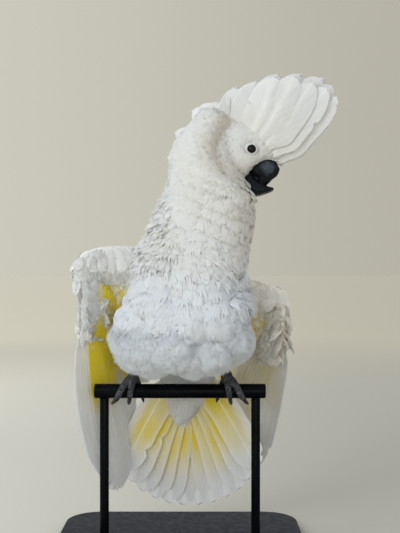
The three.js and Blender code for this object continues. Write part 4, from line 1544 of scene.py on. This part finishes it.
def coverts():
    """Middle-sized feathers over the roots of the flight feathers, in rows in front and behind."""
    rng = np.random.default_rng(25)
    for side, wing in WINGS.items():
        quills, widths = [], []
        for length, behind, ruffle in COVERT_ROWS[side]:
            for place in range(FLIGHT_FEATHERS):
                big = flight_quill(wing, place)
                reach = length / np.linalg.norm(big.tip - big.root) * rng.uniform(0.85, 1.15)
                root, tip = big.at((0.0, reach))
                stray = rng.normal(0, ruffle, 3) * vec(1.2, 0.8, 0.8)
                bow = vec(0, behind * 0.3, 0) + rng.normal(0, ruffle * 0.3, 3)
                root, tip = root + vec(0, behind, 0), tip + vec(0, behind * 0.5, 0) + stray
                quills.append(Quill(root, tip, bow, big.face, big.chord))
                narrower = 0.62 if ruffle > 3 else 1.0
                wide = broader(13, 18, place) * narrower
                widths.append(wide * rng.uniform(0.85, 1.15))
        tint = covert_tint if side == "right" else shaded_covert_tint
        vanes_piece(
            "coverts_" + side, quills, widths, 0.42, tint, "crest", "flight_feather",
            seed=27, tilt=0.7, bend=0.10, blunt=0.4,
        )


def tail():
    """The tail feathers, spread in a fan."""
    quills = [tail_quill(i) for i in range(TAIL_VANES)]
    vanes_piece(
        "tail_feathers", quills, [36] * TAIL_VANES, 0.5, tail_tint, "vane", "flight_feather", "tail",
        seed=33, tilt=0.45, bend=0.015, splits=1,
    )


# the three lobes of the ruff: where their feathers root, and where the tips reach, as forward
# and up in the head's frame
RUFF = (
    ((-40, 4), ((-62, 22), (-71, 18), (-78, 10), (-81, 0))),
    ((-44, -14), ((-77, -23), (-83, -32), (-80, -44))),
    ((-42, -36), ((-76, -52), (-74, -60), (-70, -66))),
)


def ruff_quill(root, tip, across):
    """A broad soft feather of the ruff behind the head, across from the bird's left to its right."""
    tip = root + (tip - root) * (1 - 0.06 * across**2)
    aside = math.radians(82) * np.sign(across) * abs(across) ** 0.35
    out = unit(tip - root)
    back = FORWARD * out[0] + HEAD_UP * out[1]
    over = FORWARD * -out[1] + HEAD_UP * out[0]
    face = over * math.cos(aside) + RIGHT * math.sin(aside)
    chord = RIGHT * math.cos(aside) - over * math.sin(aside)
    start = head(root[0], root[1], across * 16)
    return Quill(start, head(tip[0], tip[1], across * 19), -back * 0.5, face, chord)


def ruff():
    """The lobes of loose feathers behind the head."""
    rng = np.random.default_rng(47)
    quills, widths = [], []
    for root, tips in RUFF:
        for tip in tips:
            for across in (-1.0, -0.4, 0.4, 1.0):
                place = across + rng.normal(0, 0.08)
                quills.append(ruff_quill(vec(*root), vec(*tip) + rng.normal(0, 1.5, 2), place))
                widths.append(rng.uniform(21, 26))
    vanes_piece(
        "ruff_feathers", quills, widths, 0.5, crest_tint, "crest", "white_feather",
        seed=49, tilt=0.5, blunt=0.5, bend=0.10, splits=2,
    )


CREST_ROWS = 7


def crest():
    """The raised crest: rows of feathers from the forehead back."""
    rng = np.random.default_rng(41)
    quills, widths = [], []
    for row in range(CREST_ROWS):
        k = row / (CREST_ROWS - 1)
        for across in (-1.0, -0.62, -0.2, 0.2, 0.62, 1.0):
            quills.append(crest_quill(k, across, rng.normal(0, 1.2, 3)))
            widths.append(mix(30, 38, ease(k, 0.0, 0.4)) * rng.uniform(0.94, 1.04))
    vanes_piece(
        "crest_feathers", quills, widths, 0.5, crest_tint, "crest", "white_feather", "crest",
        seed=43, tilt=0.5, blunt=0.42, bend=0.045, splits=1,
    )


# ---------------------------------------------------------------- eyes, bill, legs


def eyes():
    """Each eye as a ball with a bulging cornea, in its lids."""
    for side, name in ((1, "right"), (-1, "left")):
        centre = head(0, 0, side * EYE_SPREAD)
        alone(*frame["bodies"].values())
        bpy.ops.mesh.primitive_uv_sphere_add(segments=48, ring_count=32, radius=EYE_RADIUS * MM)
        ball = bpy.context.active_object
        ball.name = "eyeball_" + name
        points = points_of(ball)
        out = points @ (RIGHT * side)
        cornea = ease(out, 3.6, EYE_RADIUS) * CORNEA_BULGE
        put_points(ball, points + np.outer(cornea, RIGHT * side) + centre)
        smooth_shaded(ball)
        placed(ball, "eye", "eye", "eye_" + name)
        lid(side, name, centre)


# the section of the eyelids from the eye outwards and back under: how far from the eye's middle
# line, and how far out to the side
LID_SECTION = (
    (4.6, 4.0), (4.8, 4.9), (5.1, 5.2), (5.5, 5.1), (5.8, 4.7),
    (6.2, 4.1), (7.4, 2.8), (7.2, 1.3), (5.1, 2.3),
)
LID_SIDES = 72


def lid(side, name, centre):
    """The ring of bare wrinkled skin round the eye."""
    rng = np.random.default_rng(60 + side)
    angle = np.arange(LID_SIDES) * 2 * math.pi / LID_SIDES
    rings = []
    for i, (reach, high) in enumerate(LID_SECTION):
        wrinkles = 0.10 * np.sin(angle * 9 + i * 1.3) + 0.08 * np.sin(angle * 17 + i * 2.1)
        wrinkles = wrinkles + rng.normal(0, 0.03, LID_SIDES)
        reach = reach + wrinkles * (0 < i < 7)
        high = high + wrinkles * 0.8 * (1 < i < 6)
        squeeze = 0.95 if i < 3 else 1.0
        ahead = np.outer(np.cos(angle) * reach, FORWARD)
        above = np.outer(np.sin(angle) * reach * squeeze, HEAD_UP)
        rings.append(centre + ahead + above + np.outer(high, RIGHT * side))
    points = np.concatenate(rings)
    faces = []
    for k in range(len(LID_SECTION)):
        here = k * LID_SIDES
        after = (k + 1) % len(LID_SECTION) * LID_SIDES
        for i in range(LID_SIDES):
            j = (i + 1) % LID_SIDES
            faces.append((here + i, here + j, after + j, after + i))
    made = outwards(mesh_of("eyelid_" + name, points, faces))
    finished(made, "SUBSURF", levels=1, render_levels=1)
    smooth_shaded(made)
    placed(made, "lid", "eye")


def smooth_copy(node, name, voxel, rounds):
    """A CAD node's shape with finer faces and softer edges."""
    piece = copy_of(node, name)
    finished(piece, "REMESH", mode="VOXEL", voxel_size=voxel * MM)
    finished(piece, "SMOOTH", factor=0.5, iterations=rounds)
    return smooth_shaded(piece)


def bill():
    """The halves of the bill, with grain. The upper one's hook is drawn back and the lower one's
    tip is raised."""
    for half in ("upper", "lower"):
        piece = smooth_copy("bill_" + half, "beak_" + half, voxel=0.7, rounds=6)
        points, normals = points_of(piece), normals_of(piece)
        grain = waves(points, 7, 71) * 0.10 + waves(points, 2.6, 72) * 0.04
        points = points + normals * grain[:, None]
        forward, up, _ = in_head(points)
        if half == "upper":
            points -= np.outer(7.0 * ease(-up, -3, 18) * ease(forward, 18, 40), FORWARD)
        else:
            points += np.outer(3.5 * ease(forward, 10, 38), HEAD_UP)
        put_points(piece, points)
        placed(piece, "bill", "bill", "bill_" + half)


def tongue():
    """The thick dark tongue between the halves of the bill."""
    path = (head(8, -26), head(14, -24), head(20, -23.5), head(25, -24))
    radii = (9.5, 9.5, 8.0, 4.0)
    piece = limb("tongue", path, radii, flat=0.55, up=RIGHT, steps=14, sides=20)
    finished(piece, "SUBSURF", levels=1, render_levels=1)
    placed(smooth_shaded(piece), "bill", "bill")


TOES = ("inner_front", "outer_front", "inner_back", "outer_back")
RAIL_HEIGHT = 180.0
TOE_REACH = 20.0  # from the rail's middle line to the skin on top of a toe


def legs():
    """Legs with scutes and pebbles that run round the rail, and their claws."""
    for side in ("right", "left"):
        leg = smooth_copy("leg_" + side, "foot_" + side, voxel=0.8, rounds=4)
        points, normals = points_of(leg), normals_of(leg)
        turn = np.arctan2(-points[:, 1], points[:, 2] - RAIL_HEIGHT) * TOE_REACH
        scutes = np.abs(np.sin(turn * 0.62)) ** 0.5 * 0.55
        pebbles = waves(points, 3.2, 81) * 0.18
        put_points(leg, points + normals * (scutes + pebbles - 0.3)[:, None])
        placed(leg, "foot", "foot_skin", "leg_" + side)
        for toe in TOES:
            node = "claw_%s_%s" % (side, toe)
            claw = smooth_copy(node, "nail_%s_%s" % (side, toe), voxel=0.35, rounds=5)
            placed(claw, "claw", "claw", node)


# ---------------------------------------------------------------- perch and stand


def turned_bar(name, radius, length, centre, along_x, node, bevel):
    """A round bar with rounded ends, along X or upright."""
    alone(*frame["bodies"].values())
    turn = (0, math.radians(90), 0) if along_x else (0, 0, 0)
    middle = tuple(np.array(centre) * MM)
    bpy.ops.mesh.primitive_cylinder_add(
        vertices=64, radius=radius * MM, depth=length * MM, location=middle, rotation=turn
    )
    bar = bpy.context.active_object
    bar.name = name
    bpy.ops.object.transform_apply(location=True, rotation=True, scale=True)
    finished(
        bar, "BEVEL", width=bevel * MM, segments=4, limit_method="ANGLE", angle_limit=math.radians(50)
    )
    alone(bar)
    bpy.ops.object.shade_smooth_by_angle(angle=math.radians(40))
    placed(bar, "paint", "black_paint", node)


RAIL_RADIUS = 8
RAIL_LENGTH = 190
RAIL_BEVEL = 1.2
ROD_RADIUS = 5
ROD_LENGTH = 161.8
ROD_BEVEL = 0.4
ROD_ASIDE = 84  # how far a rod stands from the middle of the rail
ROD_MIDDLE = 91  # the height of a rod's middle
PLATE_MIDDLE = vec(0, 24, 5)
PLATE_SIZE = vec(280, 220, 10)
PLATE_CORNER = 40
PLATE_BEVEL = 1.5


def stand():
    """The rail, the two rods under it and the base plate with rounded corners."""
    centre = (0, 0, RAIL_HEIGHT)
    turned_bar("rail_bar", RAIL_RADIUS, RAIL_LENGTH, centre, True, "perch", RAIL_BEVEL)
    for side, name in ((1, "left"), (-1, "right")):
        centre = (side * ROD_ASIDE, 0, ROD_MIDDLE)
        node = "stand_rod_" + name
        turned_bar("upright_" + name, ROD_RADIUS, ROD_LENGTH, centre, False, node, ROD_BEVEL)
    alone(*frame["bodies"].values())
    bpy.ops.mesh.primitive_cube_add(
        size=1, location=tuple(PLATE_MIDDLE * MM), scale=tuple(PLATE_SIZE * MM)
    )
    plate = bpy.context.active_object
    plate.name = "base_plate"
    bpy.ops.object.transform_apply(location=True, rotation=True, scale=True)
    bpy.ops.object.mode_set(mode="EDIT")
    bpy.ops.mesh.select_mode(type="EDGE")
    bpy.ops.mesh.select_all(action="DESELECT")
    bpy.ops.object.mode_set(mode="OBJECT")
    for edge in plate.data.edges:
        a, b = (plate.data.vertices[i].co for i in edge.vertices)
        edge.select = abs(a.z - b.z) > PLATE_SIZE[2] * MM / 2
    bpy.ops.object.mode_set(mode="EDIT")
    bpy.ops.mesh.bevel(offset=PLATE_CORNER * MM, segments=16, affect="EDGES")
    bpy.ops.object.mode_set(mode="OBJECT")
    finished(
        plate, "BEVEL", width=PLATE_BEVEL * MM, segments=4, limit_method="ANGLE",
        angle_limit=math.radians(60), harden_normals=True,
    )
    placed(plate, "paint", "black_paint", "stand_base")


# ---------------------------------------------------------------- light, floor and camera


def side_shade(look, where, reach):
    """0 on the window's side and 1 on the far side, by the way that where points."""
    across = look.node("ShaderNodeSeparateXYZ", Vector=where).outputs["X"]
    return look.span(look.math("DIVIDE", across, reach), -0.3, 0.3)


def floor():
    """A pale paper floor that grows lighter and warmer in the distance."""
    look = Look("floor_paper")
    where = look.place()
    grain = look.noise(where, 3.0, 4.0)
    colour = look.blend(grain, (0.66, 0.63, 0.535, 1), (0.70, 0.67, 0.57, 1))
    reach = look.node("ShaderNodeVectorMath", {"operation": "LENGTH"})
    look.feed(reach.inputs[0], where)
    away = look.span(reach.outputs["Value"], 0.6, 3.4)
    colour = look.blend(away, colour, (0.935, 0.855, 0.65, 1))
    shade = side_shade(look, where, look.math("ADD", reach.outputs["Value"], 0.6))
    colour = look.blend(shade, colour, (0.78, 0.77, 0.76, 1), "MULTIPLY")
    # the emission is a painted glow that lifts the far floor, and side_shade is painted shade away from the
    # window
    look.set(Base_Color=colour, Roughness=0.9, Emission_Color=colour)
    look.set(Emission_Strength=look.math("MULTIPLY", away, 0.11))
    bpy.ops.mesh.primitive_plane_add(size=60, location=(0, 0, 0))
    plane = bpy.context.active_object
    plane.name = "floor"
    plane.data.materials.append(look.material)


def room():
    """Pale walls as the camera sees them, and the cooler light that they throw on the bird."""
    world = bpy.data.worlds.new("room")
    bpy.context.scene.world = world
    bpy.context.scene.view_settings.view_transform = "Standard"
    world.use_nodes = True
    look = Look("room", world.node_tree)
    shade = side_shade(look, look.node("ShaderNodeTexCoord").outputs["Generated"], 1.0)
    wall = look.blend(shade, (0.60, 0.59, 0.50, 1), (0.46, 0.445, 0.375, 1))
    seen = look.node("ShaderNodeLightPath").outputs["Is Camera Ray"]
    back = look.tree.nodes["Background"]
    look.feed(back.inputs["Color"], look.blend(seen, (0.54, 0.575, 0.62, 1), wall))


def lamp(name, where, towards, size, power, colour):
    """A square soft light, its size in metres and its power in watts."""
    light = bpy.data.lights.new(name, "AREA")
    light.size = size
    light.energy = power
    light.color = colour
    made = bpy.data.objects.new(name, light)
    made.location = where
    made.rotation_euler = (Vector(towards) - Vector(where)).to_track_quat("-Z", "Y").to_euler()
    bpy.context.scene.collection.objects.link(made)


def lamps():
    """A large window in front at the bird's right, the room's warmer light, and one from behind."""
    lamp("window", (-1.4, -1.7, 1.15), (0.02, 0, 0.3), 1.3, 23, (0.92, 0.97, 1.0))
    lamp("room_side", (0.4, -2.0, 0.2), (-0.05, 0, 0.2), 1.0, 11, (1.0, 0.96, 0.88))
    lamp("rim", (-0.9, 1.3, 1.3), (0.0, 0, 0.35), 1.0, 8, (1.0, 0.98, 0.95))


CAMERA_PLACE = (0.0222, -1.0, 0.3183)  # in metres
CAMERA_LENS = 60.8  # focal length in millimetres, on a sensor 36 wide


def camera():
    """A level camera in front of the bird."""
    eye = bpy.data.cameras.new("camera")
    eye.lens = CAMERA_LENS
    eye.sensor_width = 36.0
    eye.clip_start = 0.05
    made = bpy.data.objects.new("camera", eye)
    made.location = CAMERA_PLACE
    made.rotation_euler = (math.radians(90), 0, 0)
    bpy.context.scene.collection.objects.link(made)
    bpy.context.scene.camera = made


# ---------------------------------------------------------------- the whole bird

camera()
floor()
room()
lamps()
skin = Skin()
placed(skin.piece, "skin", "white_feather", "trunk", "neck", "head", "thigh_right", "thigh_left")
coat(skin)
wings()
coverts()
tail()
crest()
ruff()
eyes()
bill()
tongue()
legs()
stand()
